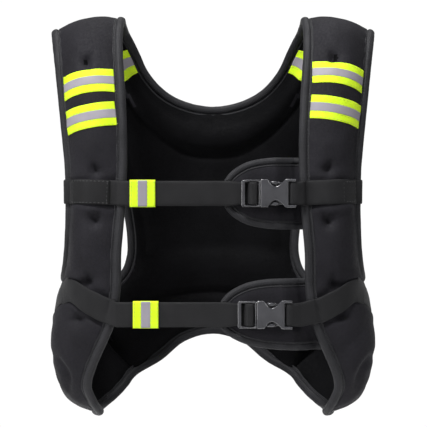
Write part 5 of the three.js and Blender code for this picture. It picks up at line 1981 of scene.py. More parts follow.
class StrapTab:
    """A sleeve of hi-vis tape round a strap, with its silver strip across the front."""

    THICK = 0.7
    ROUND = 0.9

    def __init__(self, place: StrapPlace, sizes: VestSizes) -> None:
        """Sets the tab.

        Args:
            place: The strap's place.
            sizes: The vest's sizes.
        """
        self.place, self.sizes = place, sizes

    def _outline(self, off: float) -> np.ndarray:
        """Points round the strap, a little off it, with the way out at each.

        Args:
            off: How far off the strap it lies.

        Returns:
            The points.
        """
        thick, wide = self.sizes.webbing_thick, self.sizes.webbing_width
        half = np.array([thick, wide]) / 2 + self.sizes.gap + off
        round_ = min(self.ROUND + off, half[0] - 0.05)
        points = []
        for (sa, sb), start in zip(((-1, 1), (-1, -1), (1, -1), (1, 1)), (0.5, 1.0, 1.5, 0.0)):
            corner = np.array([sa, sb]) * (half - round_)
            for angle in np.pi * (start + np.linspace(0, 0.5, 6)):
                points.append(corner + round_ * np.array([math.cos(angle), math.sin(angle)]))
        points = np.array(points)
        long_rows = []
        for a, b in zip(points, np.roll(points, -1, 0)):
            steps = max(1, int(np.linalg.norm(b - a) / 1.5))
            long_rows.append(a + (b - a) * np.linspace(0, 1, steps, endpoint=False)[:, None])
        return np.concatenate(long_rows)

    def build(self) -> list[bpy.types.Object]:
        """Makes the sleeve, its silver strip and its stitches.

        Returns:
            The finished pieces.
        """
        place, half = self.place, StrapPlace.TAB / 2
        inner, outer = self._outline(0.0), self._outline(self.THICK)
        count = min(len(inner), len(outer))
        inner, outer = inner[:count], outer[:count]
        xs = np.linspace(-half, half, 15)
        swell = 0.22 * np.cos(xs / half * np.pi / 2) + 0.05 * np.sin(xs * 1.9)
        front = []
        for x, grow in zip(xs, swell):
            depth, tall = (outer * (1 + 0.02 * grow)).T
            front.append(np.stack([np.full(count, x), depth * (1 + 0.1 * grow), tall], -1))
        back = [np.stack([np.full(count, x), inner[:, 0], inner[:, 1]], -1) for x in xs[::-1]]
        rings = np.stack(front + back, 1) + np.array([place.tab_x, place.y, place.z])
        across = np.concatenate([xs + half, half * 2 + 1 + xs + half])
        name = place.name + "_strap_tab"
        sleeve = enrol(lofted(name + "_fabric", rings, True, across), Slot.LIME, name)
        return [sleeve, *self._strip(name)]

    def _strip(self, name: str) -> list[bpy.types.Object]:
        """The silver strip down the front of the sleeve, and the stitches.

        Args:
            name: The piece's name.

        Returns:
            The strip and the stitches.
        """
        place, sizes = self.place, self.sizes
        wide = StrapPlace.TAB * sizes.silver_share
        face = place.y - sizes.webbing_thick / 2 - sizes.gap - self.THICK
        tall = sizes.webbing_width / 2 + sizes.gap + self.THICK - 0.45
        z = place.z + np.linspace(tall, -tall, 24)
        turn = smooth((np.abs(z - place.z) - tall + 1.2) / 1.2)
        y = face - 0.32 + 0.35 * turn
        lines = np.stack(np.broadcast_arrays(place.tab_x + STRANDS * wide / 2, y[:, None], z[:, None]), -1)
        facing = np.broadcast_to(np.array([0.0, -1.0, 0.0]), (len(z), 3))
        thick = HiVisTape.SILVER_THICK
        strip = plain_ribbon(name + "_reflector", name + "_silver", lines, facing, thick, wide, Slot.SILVER)
        rows = []
        for off in (-wide / 2 - 0.9, wide / 2 + 0.9, -StrapPlace.TAB / 2 + 1.4, StrapPlace.TAB / 2 - 1.4):
            line = np.stack(np.broadcast_arrays(place.tab_x + off, face - 0.1, z), -1)
            rows.append((line, facing))
        return [strip, Stitches(name + "_stitches", rows, Slot.LIME).build()]


class StrapLabel:
    """The bare woven label sewn on the chest strap."""

    LIFT = 2.1
    THICK = 0.6

    def __init__(self, form: PanelForm) -> None:
        """Sets the label.

        Args:
            form: The panels.
        """
        self.form = form

    def build(self) -> list[bpy.types.Object]:
        """Makes the label and the stitches round it.

        Returns:
            The finished pieces.
        """
        path = StrapKind.CHEST.path(self.form)
        path = path[(path[:, 1] > 0.07) & (path[:, 1] < 0.93)]
        width = self.form.sizes.webbing_width - 0.8
        lines, facing = ribbon_lines(pressed_cover(self.form, self.LIFT), path, width)
        lines = drawn_taut(lines, facing, TAUT_STRAP_PASSES) + facing[:, None] * self.THICK / 2
        lines, facing = lines * MIRROR, facing * MIRROR
        label = plain_ribbon("strap_label_weave", "strap_label", lines, facing, self.THICK, width, Slot.LABEL)
        lift = self.THICK / 2 + 0.05
        rows = edge_lines(lines, facing, 1.3, width, lift) + cross_lines(lines, facing, (1, -2), 0.05, lift)
        return [label, Stitches("strap_label_stitches", rows, Slot.LABEL).build()]


@dataclass(frozen=True)
class GuardSizes:
    """Named sizes of the padded guard behind a buckle, in millimetres."""

    height: float = 73.0
    thick: float = 5.0
    binding: float = 8.0
    binding_thick: float = 5.6
    step: float = 22.0
    ahead: float = 17.0
    hold: float = 0.6


class Guard:
    """A padded flap behind a buckle, sewn under the rim, with its own binding."""

    ROUND = 90
    DOWN = 45

    def __init__(self, place: StrapPlace, form: PanelForm, sizes: GuardSizes) -> None:
        """Sets the guard.

        Args:
            place: The strap's place.
            form: The panels.
            sizes: The guard's sizes.
        """
        self.place, self.form, self.sizes = place, form, sizes

    def _lay(self, x: np.ndarray, z: np.ndarray) -> np.ndarray:
        """Puts places in the front view on the guard's middle: flat, then stepping back under the rim.

        Args:
            x: Places across, in millimetres.
            z: Heights in millimetres.

        Returns:
            The points.
        """
        rim_x, _, rear = self.form.rim_at(z)
        sizes, vest = self.sizes, self.form.sizes
        fixed = rear + sizes.binding_thick / 2 + vest.pad_clear
        flat = self.place.y + vest.webbing_thick * 1.5 + 2 * vest.gap + sizes.binding_thick / 2
        share = smooth((rim_x - vest.binding_width / 4 - x) / sizes.step)
        return np.stack([x, mix(fixed, flat, share), z], -1)

    def _outline(self) -> np.ndarray:
        """The outline in x and z, from the fixed end over the top, round the tip and back below.

        Returns:
            The points.
        """
        table = np.array(GUARD_OUTLINE)
        curve = Curve(np.stack([table[:, 0], 0 * table[:, 0], table[:, 1]], -1))
        along, _, rise = curve.along(np.linspace(0, 1, self.ROUND)).T
        tip = self.place.buckle_x - self.sizes.ahead
        hold = self.form.sizes.binding_width * self.sizes.hold
        rows = []
        for way in (1, -1):
            z = self.place.z + way * rise * self.sizes.height / 2
            x = mix(self.form.rim_at(z)[0] + hold, tip, along)
            rows.append(np.stack([x, z], -1))
        return np.concatenate([rows[0], rows[1][::-1]])

    @staticmethod
    def _inwards(line: np.ndarray) -> np.ndarray:
        """The way in at each point of the outline."""
        run = heading(line)
        return np.stack([-run[:, 1], run[:, 0]], -1)

    def build(self) -> list[bpy.types.Object]:
        """Makes the padded flap, its binding and the stitches.

        Returns:
            The finished pieces.
        """
        name = self.place.name + "_guard"
        outline = self._outline()
        turn = self._inwards(outline)
        inner = outline + turn * (self.sizes.binding + self.form.sizes.pad_clear)
        stop = self.ROUND - 3
        high, low = inner[:stop], inner[::-1][:stop]
        down = np.linspace(0, 1, self.DOWN)
        grid = mix(high[:, None], low[:, None], column(np.broadcast_to(down, (stop, self.DOWN))))
        rim_high, rim_low = (self.form.rim_at(side[:, 1])[0][:, None] for side in (high, low))
        level = mix(rim_high, rim_low, down)
        share = 1 - np.arange(stop)[:, None] / self.ROUND
        grid[..., 0] += (self.form.rim_at(grid[..., 1].ravel())[0].reshape(level.shape) - level) * share
        middle = self._lay(grid[..., 0].ravel(), grid[..., 1].ravel()).reshape(*level.shape, 3)
        tall = np.abs(high[:, 1] - low[:, 1])[:, None]
        edge = np.minimum(np.minimum(down, 1 - down) * tall, (stop - 1 - np.arange(stop))[:, None] * 0.8)
        swell = np.sin(np.pi / 2 * np.clip(edge / 9.0, 0, 1))
        half = mix(self.sizes.binding_thick * 0.33, self.sizes.thick / 2 + 0.1, swell)
        front = half + 0.25 * waves(middle, 30.0, 51) * swell
        faces_front = middle + column(front) * np.array([0.0, -1.0, 0.0])
        faces_back = middle + column(half) * np.array([0.0, 1.0, 0.0])
        points, faces = padding(faces_front, faces_back)
        pad = enrol(write_mesh(name + "_padding", points, faces), Slot.NEOPRENE, name)
        return [pad, *self._bind(name, outline, turn)]

    def _bind(self, name: str, outline: np.ndarray, turn: np.ndarray) -> list[bpy.types.Object]:
        """The binding round the flap and its stitches.

        Args:
            name: The piece's name.
            outline: Its corners, x and z in millimetres.
            turn: The way in at each point of the outline.

        Returns:
            The binding and its stitches.
        """
        section = Binding.outline()
        at = outline[:, None] + turn[:, None] * (section[None, :, :1] * self.sizes.binding)
        shape = at.shape[:2]
        points = self._lay(at[..., 0].ravel(), at[..., 1].ravel()).reshape(*shape, 3)
        points[..., 1] -= section[None, :, 1] * self.sizes.binding_thick
        sized = section * np.array([self.sizes.binding, self.sizes.binding_thick])
        binding = name + "_binding"
        tape = enrol(lofted(binding + "_tape", points, False, lengths(sized)), Slot.BINDING, binding)
        rows = []
        for index, way in ((Binding.SEWN_AT, -1.0), (len(section) - 1 - Binding.SEWN_AT, 1.0)):
            rows.append((points[:, index], np.broadcast_to(np.array([0.0, way, 0.0]), (len(points), 3))))
        return [tape, Stitches(name + "_stitches", rows, Slot.BINDING).build()]


class HardPart:
    """A moulded part worked from primitives in edit mode, in the buckle's own millimetres."""

    def __init__(self, name: str, outline: Sequence[tuple[float, float]], thick: float) -> None:
        """Cuts a plate to an outline seen from the front.

        Args:
            name: The part's name.
            outline: Its corners, x and z in millimetres.
            thick: Its thickness.
        """
        self.piece = self._plate(name, outline, thick, 0.0)

    @staticmethod
    def _plate(name: str, outline: Sequence[tuple[float, float]], thick: float, y: float) -> bpy.types.Object:
        """A flat disc's rim moved to an outline, then extruded to its thickness.

        Args:
            name: The piece's name.
            outline: Its corners, x and z in millimetres.
            thick: Its thickness in millimetres.
            y: Its middle, from front to back.

        Returns:
            The plate.
        """
        bpy.ops.object.select_all(action="DESELECT")
        bpy.ops.mesh.primitive_circle_add(vertices=len(outline), radius=0.02, fill_type="NGON")
        plate = bpy.context.active_object
        plate.name = name
        for vertex, (x, z) in zip(plate.data.vertices, outline):
            vertex.co = (x * MM, (y - thick / 2) * MM, z * MM)
        bpy.ops.object.mode_set(mode="EDIT")
        bpy.ops.mesh.select_all(action="SELECT")
        bpy.ops.mesh.extrude_region_move(TRANSFORM_OT_translate={"value": (0, thick * MM, 0)})
        bpy.ops.mesh.select_all(action="SELECT")
        bpy.ops.mesh.normals_make_consistent(inside=False)
        bpy.ops.object.mode_set(mode="OBJECT")
        return plate

    @staticmethod
    def _block(low: Sequence[float], high: Sequence[float]) -> bpy.types.Object:
        """A block between two corners, for cutting.

        Args:
            low: The lowest corner.
            high: The highest corner.

        Returns:
            The block.
        """
        bpy.ops.object.select_all(action="DESELECT")
        middle = [(a + b) / 2 * MM for a, b in zip(low, high)]
        extent = [(b - a) * MM for a, b in zip(low, high)]
        bpy.ops.mesh.primitive_cube_add(size=1, location=middle, scale=extent)
        block = bpy.context.active_object
        bpy.ops.object.transform_apply(location=True, rotation=True, scale=True)
        return block

    def _combine(self, other: bpy.types.Object, operation: str) -> None:
        """Joins or cuts with another shape, which is then removed.

        Args:
            other: The shape to join or to cut with.
            operation: UNION or DIFFERENCE.
        """
        modifier = self.piece.modifiers.new("shape", "BOOLEAN")
        modifier.operation, modifier.object, modifier.solver = operation, other, "EXACT"
        bpy.context.view_layer.objects.active = self.piece
        bpy.ops.object.modifier_apply(modifier=modifier.name)
        bpy.data.objects.remove(other, do_unlink=True)

    def cut_block(self, low: Sequence[float], high: Sequence[float]) -> None:
        """Cuts a block away."""
        self._combine(self._block(low, high), "DIFFERENCE")

    def cut_plate(self, outline: Sequence[tuple[float, float]], thick: float, y: float = 0.0) -> None:
        """Cuts an outline away."""
        self._combine(self._plate("cutter", outline, thick, y), "DIFFERENCE")

    def add_plate(self, outline: Sequence[tuple[float, float]], thick: float, y: float = 0.0) -> None:
        """Joins a plate on."""
        self._combine(self._plate("addition", outline, thick, y), "UNION")

    def finish(self, at: Sequence[float], round_: float, node: str) -> bpy.types.Object:
        """Rounds the edges and puts the part in its place.

        Args:
            at: The buckle's place in millimetres.
            round_: Radius of its edges.
            node: The solid that it stands for.

        Returns:
            The part.
        """
        piece = self.piece
        bevel = piece.modifiers.new("edges", "BEVEL")
        bevel.width, bevel.segments, bevel.limit_method = round_ * MM, 3, "ANGLE"
        bevel.angle_limit, bevel.use_clamp_overlap = math.radians(32), False
        pick(piece)
        bpy.ops.object.modifier_apply(modifier=bevel.name)
        for vertex in piece.data.vertices:
            vertex.co += Vector(at) * MM
        bpy.ops.object.shade_smooth_by_angle(angle=math.radians(34))
        face_out(piece)
        return enrol(piece, Slot.BUCKLE, node)


def eased(
    start: Sequence[float], pull: Sequence[float], end: Sequence[float], count: int = 9
) -> list[tuple[float, float]]:
    """Points of a quadratic curve after its start.

    Args:
        start: The curve's first point.
        pull: The point that it bends towards.
        end: The curve's last point.
        count: How many points are given.

    Returns:
        The points, the end with them and the start left out.
    """
    s = np.linspace(0, 1, count + 1)[1:, None]
    a, b, c = (np.array(p, float) for p in (start, pull, end))
    return [tuple(p) for p in (a * (1 - s) ** 2 + 2 * b * s * (1 - s) + c * s**2)]


def rectangle(left: float, right: float, half: float) -> list[tuple[float, float]]:
    """Corners of an upright rectangle."""
    return [(left, -half), (right, -half), (right, half), (left, half)]


class Buckle:
    """A side-release buckle: a socket with two scooped notches, and a clip whose arms show in them."""

    ROUND = 0.85
    CORNER = 2.4
    PAD_LONG, PAD_HIGH, PAD_AT = 3.7, 1.75, 10.4

    def __init__(self, place: StrapPlace, sizes: BuckleSizes) -> None:
        """Sets the buckle.

        Args:
            place: Its strap's place.
            sizes: Its sizes.
        """
        self.place, self.sizes = place, sizes
        self.at = (place.buckle_x, place.buckle_y, place.z)

    def build(self) -> list[bpy.types.Object]:
        """Makes both halves."""
        return [self.socket(), self.clip()]

    def _notch(self, way: int) -> list[tuple[float, float]]:
        """One long edge of the socket, with its scooped notch.

        Args:
            way: Sign of the side that it is on.

        Returns:
            The edge's points.
        """
        s = self.sizes
        half, wide = s.height / 2, s.height / 2 - s.socket_inset
        bar = s.length - s.flange_bar
        end = bar - s.flange_slot - s.notch_to_slot
        middle = end - s.notch_rise
        start = middle - s.notch_entry
        before, after = middle - s.notch_entry * s.notch_ease, middle + s.notch_rise * s.notch_ease
        points = [(s.frame_length, wide), (start, wide)]
        points += eased((start, wide), (before, s.notch_apex), (middle, s.notch_apex))
        points += eased((middle, s.notch_apex), (after, s.notch_apex), (end, half), 12)
        points += [(s.length, half)]
        return [(x, way * z) for x, z in points]

    def socket(self) -> bpy.types.Object:
        """The socket: hollow, with its flange bar for the webbing.

        Returns:
            The socket.
        """
        s = self.sizes
        outline = self._notch(-1) + self._notch(1)[::-1]
        part = HardPart(self.place.name + "_socket_shell", outline, s.thick)
        bar = s.length - s.flange_bar
        deep = s.thick / 2 - s.wall
        slot_half = s.loop_width / 2 + s.clear
        part.cut_block(
            (s.frame_length - 1, -deep, -s.cavity_half), (bar - s.flange_slot - s.wall, deep, s.cavity_half)
        )
        part.cut_plate(rectangle(bar - s.flange_slot, bar, slot_half), s.thick * 2)
        part.cut_block((s.length - 1, -s.thick, -slot_half), (s.length + 1, s.thick, slot_half))
        for way in (-1, 1):
            near, far = sorted((way * s.flange_thick / 2, way * s.thick))
            part.cut_block((bar - s.flange_slot, near, -slot_half), (s.length + 1, far, slot_half))
        return part.finish(self.at, self.ROUND, self.place.name + "_socket")

    def clip(self) -> bpy.types.Object:
        """The clip: a ladder frame for the webbing, a tongue and two sprung arms.

        Returns:
            The clip.
        """
        s = self.sizes
        half = s.height / 2 - s.clip_inset
        slot_half = half - s.rail
        crossbar = s.bar + s.slot
        end = s.frame_length - s.clear
        tongue, inside = s.frame_length + s.clear, s.cavity_half - s.clear
        corner = self.CORNER
        frame = [(end, half), (corner, half)]
        frame += eased((corner, half), (0, half), (0, half - corner), 5)
        frame += [(0, -half + corner)]
        frame += eased((0, -half + corner), (0, -half), (corner, -half), 5)
        frame += [(end, -half)]
        part = HardPart(self.place.name + "_clip_frame", frame, s.frame_thick)
        second = crossbar + s.crossbar
        part.cut_plate(rectangle(s.bar, crossbar, slot_half), s.thick)
        part.cut_plate(rectangle(second, second + s.clip_slot, slot_half), s.thick)
        for way in (-1, 1):
            near, far = sorted((way * s.crossbar_thick / 2, way * s.thick))
            part.cut_block((s.bar, near, -slot_half), (second + s.clip_slot, far, slot_half))
        part.add_plate(rectangle(s.frame_length - 2 * s.clear, tongue + s.tongue, inside), s.arm_thick)
        part.add_plate(rectangle(tongue, tongue + s.arm_length * 0.8, 1.5), s.arm_thick)
        notch = s.length - s.flange_bar - s.flange_slot - s.notch_to_slot - s.notch_rise
        turn = np.linspace(0, 2 * np.pi, 24, endpoint=False)
        for way in (-1, 1):
            part.add_plate([(x, way * z) for x, z in self._arm(tongue, inside)], s.arm_thick - 1.2)
            x, z = notch + self.PAD_LONG * np.cos(turn), way * self.PAD_AT + self.PAD_HIGH * np.sin(turn)
            pad = list(zip(x, z))
            part.add_plate(pad, s.frame_thick + 2.6)
        return part.finish(self.at, self.ROUND, self.place.name + "_clip")

    def _arm(self, tongue: float, high: float) -> list[tuple[float, float]]:
        """Outline of the upper sprung arm.

        Args:
            tongue: Where the tongue ends.
            high: The highest corner.

        Returns:
            The outline.
        """
        s = self.sizes
        root, bulge, end = tongue + 1, tongue + s.arm_length * 0.55, tongue + s.arm_length
        points = [(root, high - 5)]
        points += eased((root, high - 5), (bulge - 5, high - s.arm_width), (bulge, high - s.arm_width), 6)
        points += [(end, high - s.arm_width), (end, high - 1), (bulge, high)]
        points += eased((bulge, high), (bulge - 5, high), (root, high - 2), 6)
        return points


def linear(colour: str) -> tuple[float, float, float, float]:
    """The linear colour of an sRGB hex value."""
    parts = [int(colour[i : i + 2], 16) / 255 for i in (1, 3, 5)]
    return tuple(p / 12.92 if p <= 0.04045 else ((p + 0.055) / 1.055) ** 2.4 for p in parts) + (1.0,)


def join(tree: bpy.types.NodeTree, node: bpy.types.Node, key: str | int, value: object) -> None:
    """Links a socket to a node's input, or sets the input's value.

    Args:
        tree: The nodes.
        node: The node.
        key: The input's name or number.
        value: A socket or a plain value.
    """
    if isinstance(value, bpy.types.NodeSocket):
        tree.links.new(value, node.inputs[key])
    else:
        node.inputs[key].default_value = value


def add_node(
    tree: bpy.types.NodeTree, kind: str, links: dict | None = None, **settings: object
) -> bpy.types.Node:
    """Adds a node with its settings and links.

    Args:
        tree: The nodes that it joins.
        kind: The node's type.
        links: Sockets of other nodes, or plain values, by input name or number.
        settings: Its own settings.

    Returns:
        The node.
    """
    node = tree.nodes.new(kind)
    for key, value in settings.items():
        setattr(node, key, value)
    for key, value in (links or {}).items():
        join(tree, node, key, value)
    return node


class Recipe:
    """A material's nodes, added one at a time."""

    def __init__(self, name: str) -> None:
        """Starts a material.

        Args:
            name: The material's name.
        """
        self.material = bpy.data.materials.new(name)
        self.material.use_nodes = True
        self.tree = self.material.node_tree
        self.surface = self.tree.nodes["Principled BSDF"]

    def node(self, kind: str, links: dict | None = None, **settings: object) -> bpy.types.Node:
        """Adds a node to the material."""
        return add_node(self.tree, kind, links, **settings)

    def texture(self, kind: str, scale: float, **inputs: float) -> bpy.types.Node:
        """A texture laid through the part in metres.

        Args:
            kind: Noise or Voronoi.
            scale: Its scale.
            inputs: Its other inputs.

        Returns:
            The texture's node.
        """
        place = self.node("ShaderNodeTexCoord").outputs["Object"]
        return self.node(f"ShaderNodeTex{kind}", {"Vector": place, "Scale": scale, **inputs})

    def maths(self, operation: str, first: object, second: object = 0.0) -> bpy.types.NodeSocket:
        """The outcome of a sum of two values or sockets."""
        return self.node("ShaderNodeMath", {0: first, 1: second}, operation=operation).outputs[0]

    def mapped(self, value: object, *ends: float) -> bpy.types.NodeSocket:
        """A value brought from one range, given by its ends, to 0 to 1 or to another."""
        return self.node("ShaderNodeMapRange", {0: value, **dict(enumerate(ends, 1))}).outputs[0]

    def set(self, **values: object) -> None:
        """Sets inputs of the surface; an underscore stands for a space."""
        for key, value in values.items():
            join(self.tree, self.surface, key.replace("_", " "), value)

    def relief(self, height: object, strength: float, distance_mm: float) -> None:
        """Gives the surface a fine relief."""
        links = {"Strength": strength, "Distance": distance_mm * MM, "Height": height}
        self.set(Normal=self.node("ShaderNodeBump", links).outputs[0])

    def blend(self, share: object, low: str, high: str) -> bpy.types.NodeSocket:
        """Colour between two hex values by a share.

        Args:
            share: Shares of the way.
            low: The lowest corner.
            high: The highest corner.

        Returns:
            The colour.
        """
        ramp = self.node("ShaderNodeValToRGB", {0: share})
        ramp.color_ramp.elements[0].color = linear(low)
        ramp.color_ramp.elements[1].color = linear(high)
        return ramp.outputs[0]


@dataclass(frozen=True)
class KnitNeoprene:
    """Neoprene faced with fine nylon knit: dark and matt, soft to the eye, with loops that show close by."""

    name: str
    dark: str
    light: str
    shine: float

    # The loops of the knit, about twice as coarse as real ones so that they show
    LOOP_MM = 0.9

    def make(self) -> bpy.types.Material:
        """Builds the material.

        Returns:
            The material.
        """
        recipe = Recipe(self.name)
        loops = recipe.texture("Voronoi", 1 / (self.LOOP_MM * MM), Randomness=0.75).outputs["Distance"]
        clouds = recipe.texture("Noise", 28.0, Detail=4.0).outputs[0]
        fuzz = recipe.texture("Noise", 420.0, Detail=3.0).outputs[0]
        share = recipe.maths("ADD", clouds, recipe.maths("MULTIPLY", loops, 0.55))
        recipe.set(Base_Color=recipe.blend(recipe.mapped(share, 0.4, 1.05), self.light, self.dark))
        recipe.set(Roughness=recipe.mapped(fuzz, 0.3, 0.7, 0.66, 0.86), IOR=1.45)
        recipe.set(Sheen_Weight=0.02, Sheen_Roughness=0.4, Specular_IOR_Level=self.shine)
        recipe.relief(recipe.maths("SUBTRACT", fuzz, loops), 0.45, 0.35)
        return recipe.material


@dataclass(frozen=True)
class WovenTape:
    """A woven polyester or nylon tape: ribs across it, fine threads along it, on its own map of metres."""

    name: str
    dark: str
    light: str
    rib_mm: float
    thread_mm: float
    roughness: float
    sheen: float
    depth_mm: float

    def make(self) -> bpy.types.Material:
        """Builds the material.

        Returns:
            The material.
        """
        recipe = Recipe(self.name)
        cloth = recipe.node("ShaderNodeUVMap", uv_map="cloth").outputs[0]
        apart = recipe.node("ShaderNodeSeparateXYZ", {0: cloth})
        ribs, threads = (
            recipe.maths("SINE", recipe.maths("MULTIPLY", apart.outputs[axis], 2 * math.pi / (pitch * MM)))
            for axis, pitch in ((0, self.rib_mm), (1, self.thread_mm))
        )
        weave = recipe.maths("ADD", ribs, recipe.maths("MULTIPLY", ribs, threads))
        clouds = recipe.texture("Noise", 60.0, Detail=5.0).outputs[0]
        share = recipe.maths("ADD", recipe.maths("MULTIPLY", weave, 0.14), clouds)
        recipe.set(Base_Color=recipe.blend(recipe.mapped(share, 0.2, 0.8), self.dark, self.light))
        recipe.set(Roughness=self.roughness, Sheen_Weight=self.sheen, Sheen_Roughness=0.4, IOR=1.5)
        recipe.set(Specular_IOR_Level=0.22)
        recipe.relief(weave, 0.6, self.depth_mm)
        return recipe.material


@dataclass(frozen=True)
class BeadedReflector:
    """Retroreflective film: a grey coat of tiny glass beads, flat in room light with a faint pearl."""

    dark: str = "#77737b"
    light: str = "#8d8991"

    def make(self) -> bpy.types.Material:
        """Builds the material.

        Returns:
            The material.
        """
        recipe = Recipe("glass_bead_reflective_film")
        clouds = recipe.texture("Noise", 45.0, Detail=4.0).outputs[0]
        recipe.set(Base_Color=recipe.blend(clouds, self.dark, self.light))
        recipe.set(Roughness=0.62, Specular_IOR_Level=0.4)
        recipe.relief(recipe.texture("Noise", 2600.0, Detail=1.0).outputs[0], 0.25, 0.1)
        return recipe.material


@dataclass(frozen=True)
class MouldedAcetal:
    """Acetal moulded in a spark-eroded tool: satin black with a fine even grain."""

    dark: str = "#2e2e31"
    light: str = "#404044"

    def make(self) -> bpy.types.Material:
        """Builds the material.

        Returns:
            The material.
        """
        recipe = Recipe("black_acetal_moulding")
        handled = recipe.texture("Noise", 90.0, Detail=5.0).outputs[0]
        recipe.set(Base_Color=recipe.blend(handled, self.dark, self.light))
        recipe.set(Roughness=recipe.mapped(handled, 0.3, 0.75, 0.16, 0.3), IOR=1.55, Specular_IOR_Level=0.9)
        recipe.relief(recipe.texture("Noise", 1900.0, Detail=2.0).outputs[0], 0.18, 0.08)
        return recipe.material


@dataclass(frozen=True)
class SewingThread:
    """Bonded nylon thread: a twisted strand with a low shine."""

    name: str
    colour: str
    worn: str

    def make(self) -> bpy.types.Material:
        """Builds the material.

        Returns:
            The material.
        """
        recipe = Recipe(self.name)
        twist = recipe.texture("Noise", 1500.0, Detail=2.0).outputs[0]
        recipe.set(Base_Color=recipe.blend(twist, self.colour, self.worn))
        recipe.set(Roughness=0.48, Sheen_Weight=0.2, IOR=1.53)
        recipe.relief(twist, 0.4, 0.1)
        return recipe.material


class Looks:
    """Every finish, and which piece wears which."""

    WEARER_Y, WEARER_TOP = -0.01, -0.06

    def __init__(self) -> None:
        """Makes the finishes."""
        finishes = {
            # A little purple on the fronts
            Slot.NEOPRENE: KnitNeoprene("knit_faced_neoprene", "#111014", "#1c1b20", 0.2),
            Slot.BINDING: WovenTape("grosgrain_binding", "#151518", "#252528", 1.5, 2.2, 0.6, 0.02, 0.14),
            Slot.WEBBING: WovenTape("polyester_webbing", "#0d0d0f", "#18181a", 0.9, 1.3, 0.58, 0.02, 0.12),
            Slot.LIME: WovenTape("hi_vis_polyester", "#b9db0c", "#cdee2a", 1.1, 1.4, 0.6, 0.0, 0.08),
            Slot.SILVER: BeadedReflector(),
            Slot.BUCKLE: MouldedAcetal(),
            Slot.LABEL: WovenTape("damask_label", "#08080a", "#111113", 0.8, 1.1, 0.58, 0.0, 0.08),
        }
        self.by_slot = {slot: finish.make() for slot, finish in finishes.items()}
        # Blacker, and dull, on the inside: painted shade for the vest's hollow, where the light hardly
        # reaches
        self.inside_shade_finish = KnitNeoprene("neoprene_inside_painted_shade", "#030304", "#0a0a0c", 0.07).make()
        # Near-black, darker than the cloth: the thread's own black, deepened as painted shade so that the
        # stitched lines beside the bindings read as the seams' grooves
        self.thread = SewingThread("bonded_nylon_thread", "#0c0c0d", "#1a1a1c").make()
        self.bright_thread = SewingThread("hi_vis_thread", "#9fae2a", "#bcc94a").make()

    def dress(self, piece: bpy.types.Object) -> None:
        """Gives a piece its finish.

        Args:
            piece: The piece.
        """
        slot = Slot(piece["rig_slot"])
        look = self.by_slot[slot]
        if piece.name.endswith("stitches"):
            look = self.bright_thread if slot is Slot.LIME else self.thread
        piece.data.materials.clear()
        piece.data.materials.append(look)
        if piece.name.endswith("_padding"):
            self.line(piece)

    def line(self, piece: bpy.types.Object) -> None:
        """Gives the faces of a padded panel that look towards the wearer's middle a blacker finish, painted
        shade for the hollow.

        Args:
            piece: The piece.
        """
        centres = np.empty(len(piece.data.polygons) * 3)
        normals = centres.copy()
        piece.data.polygons.foreach_get("center", centres)
        piece.data.polygons.foreach_get("normal", normals)
        outward = centres.reshape(-1, 3) - np.array([0.0, self.WEARER_Y, 0.0])
        outward[:, 2] = np.maximum(outward[:, 2] - self.WEARER_TOP, 0)
        inside = (outward * normals.reshape(-1, 3)).sum(1) < 0
        # The blacker inside finish is painted shade for the hollow, not a different cloth
        piece.data.materials.append(self.inside_shade_finish)
        piece.data.polygons.foreach_set("material_index", inside.astype(np.int32))

    def floor(self) -> bpy.types.Material:
        """The floor's plain pale paint."""
        recipe = Recipe("matt_white_paint")
        recipe.set(Base_Color=linear("#f6f6f6"), Roughness=0.9)
        return recipe.material


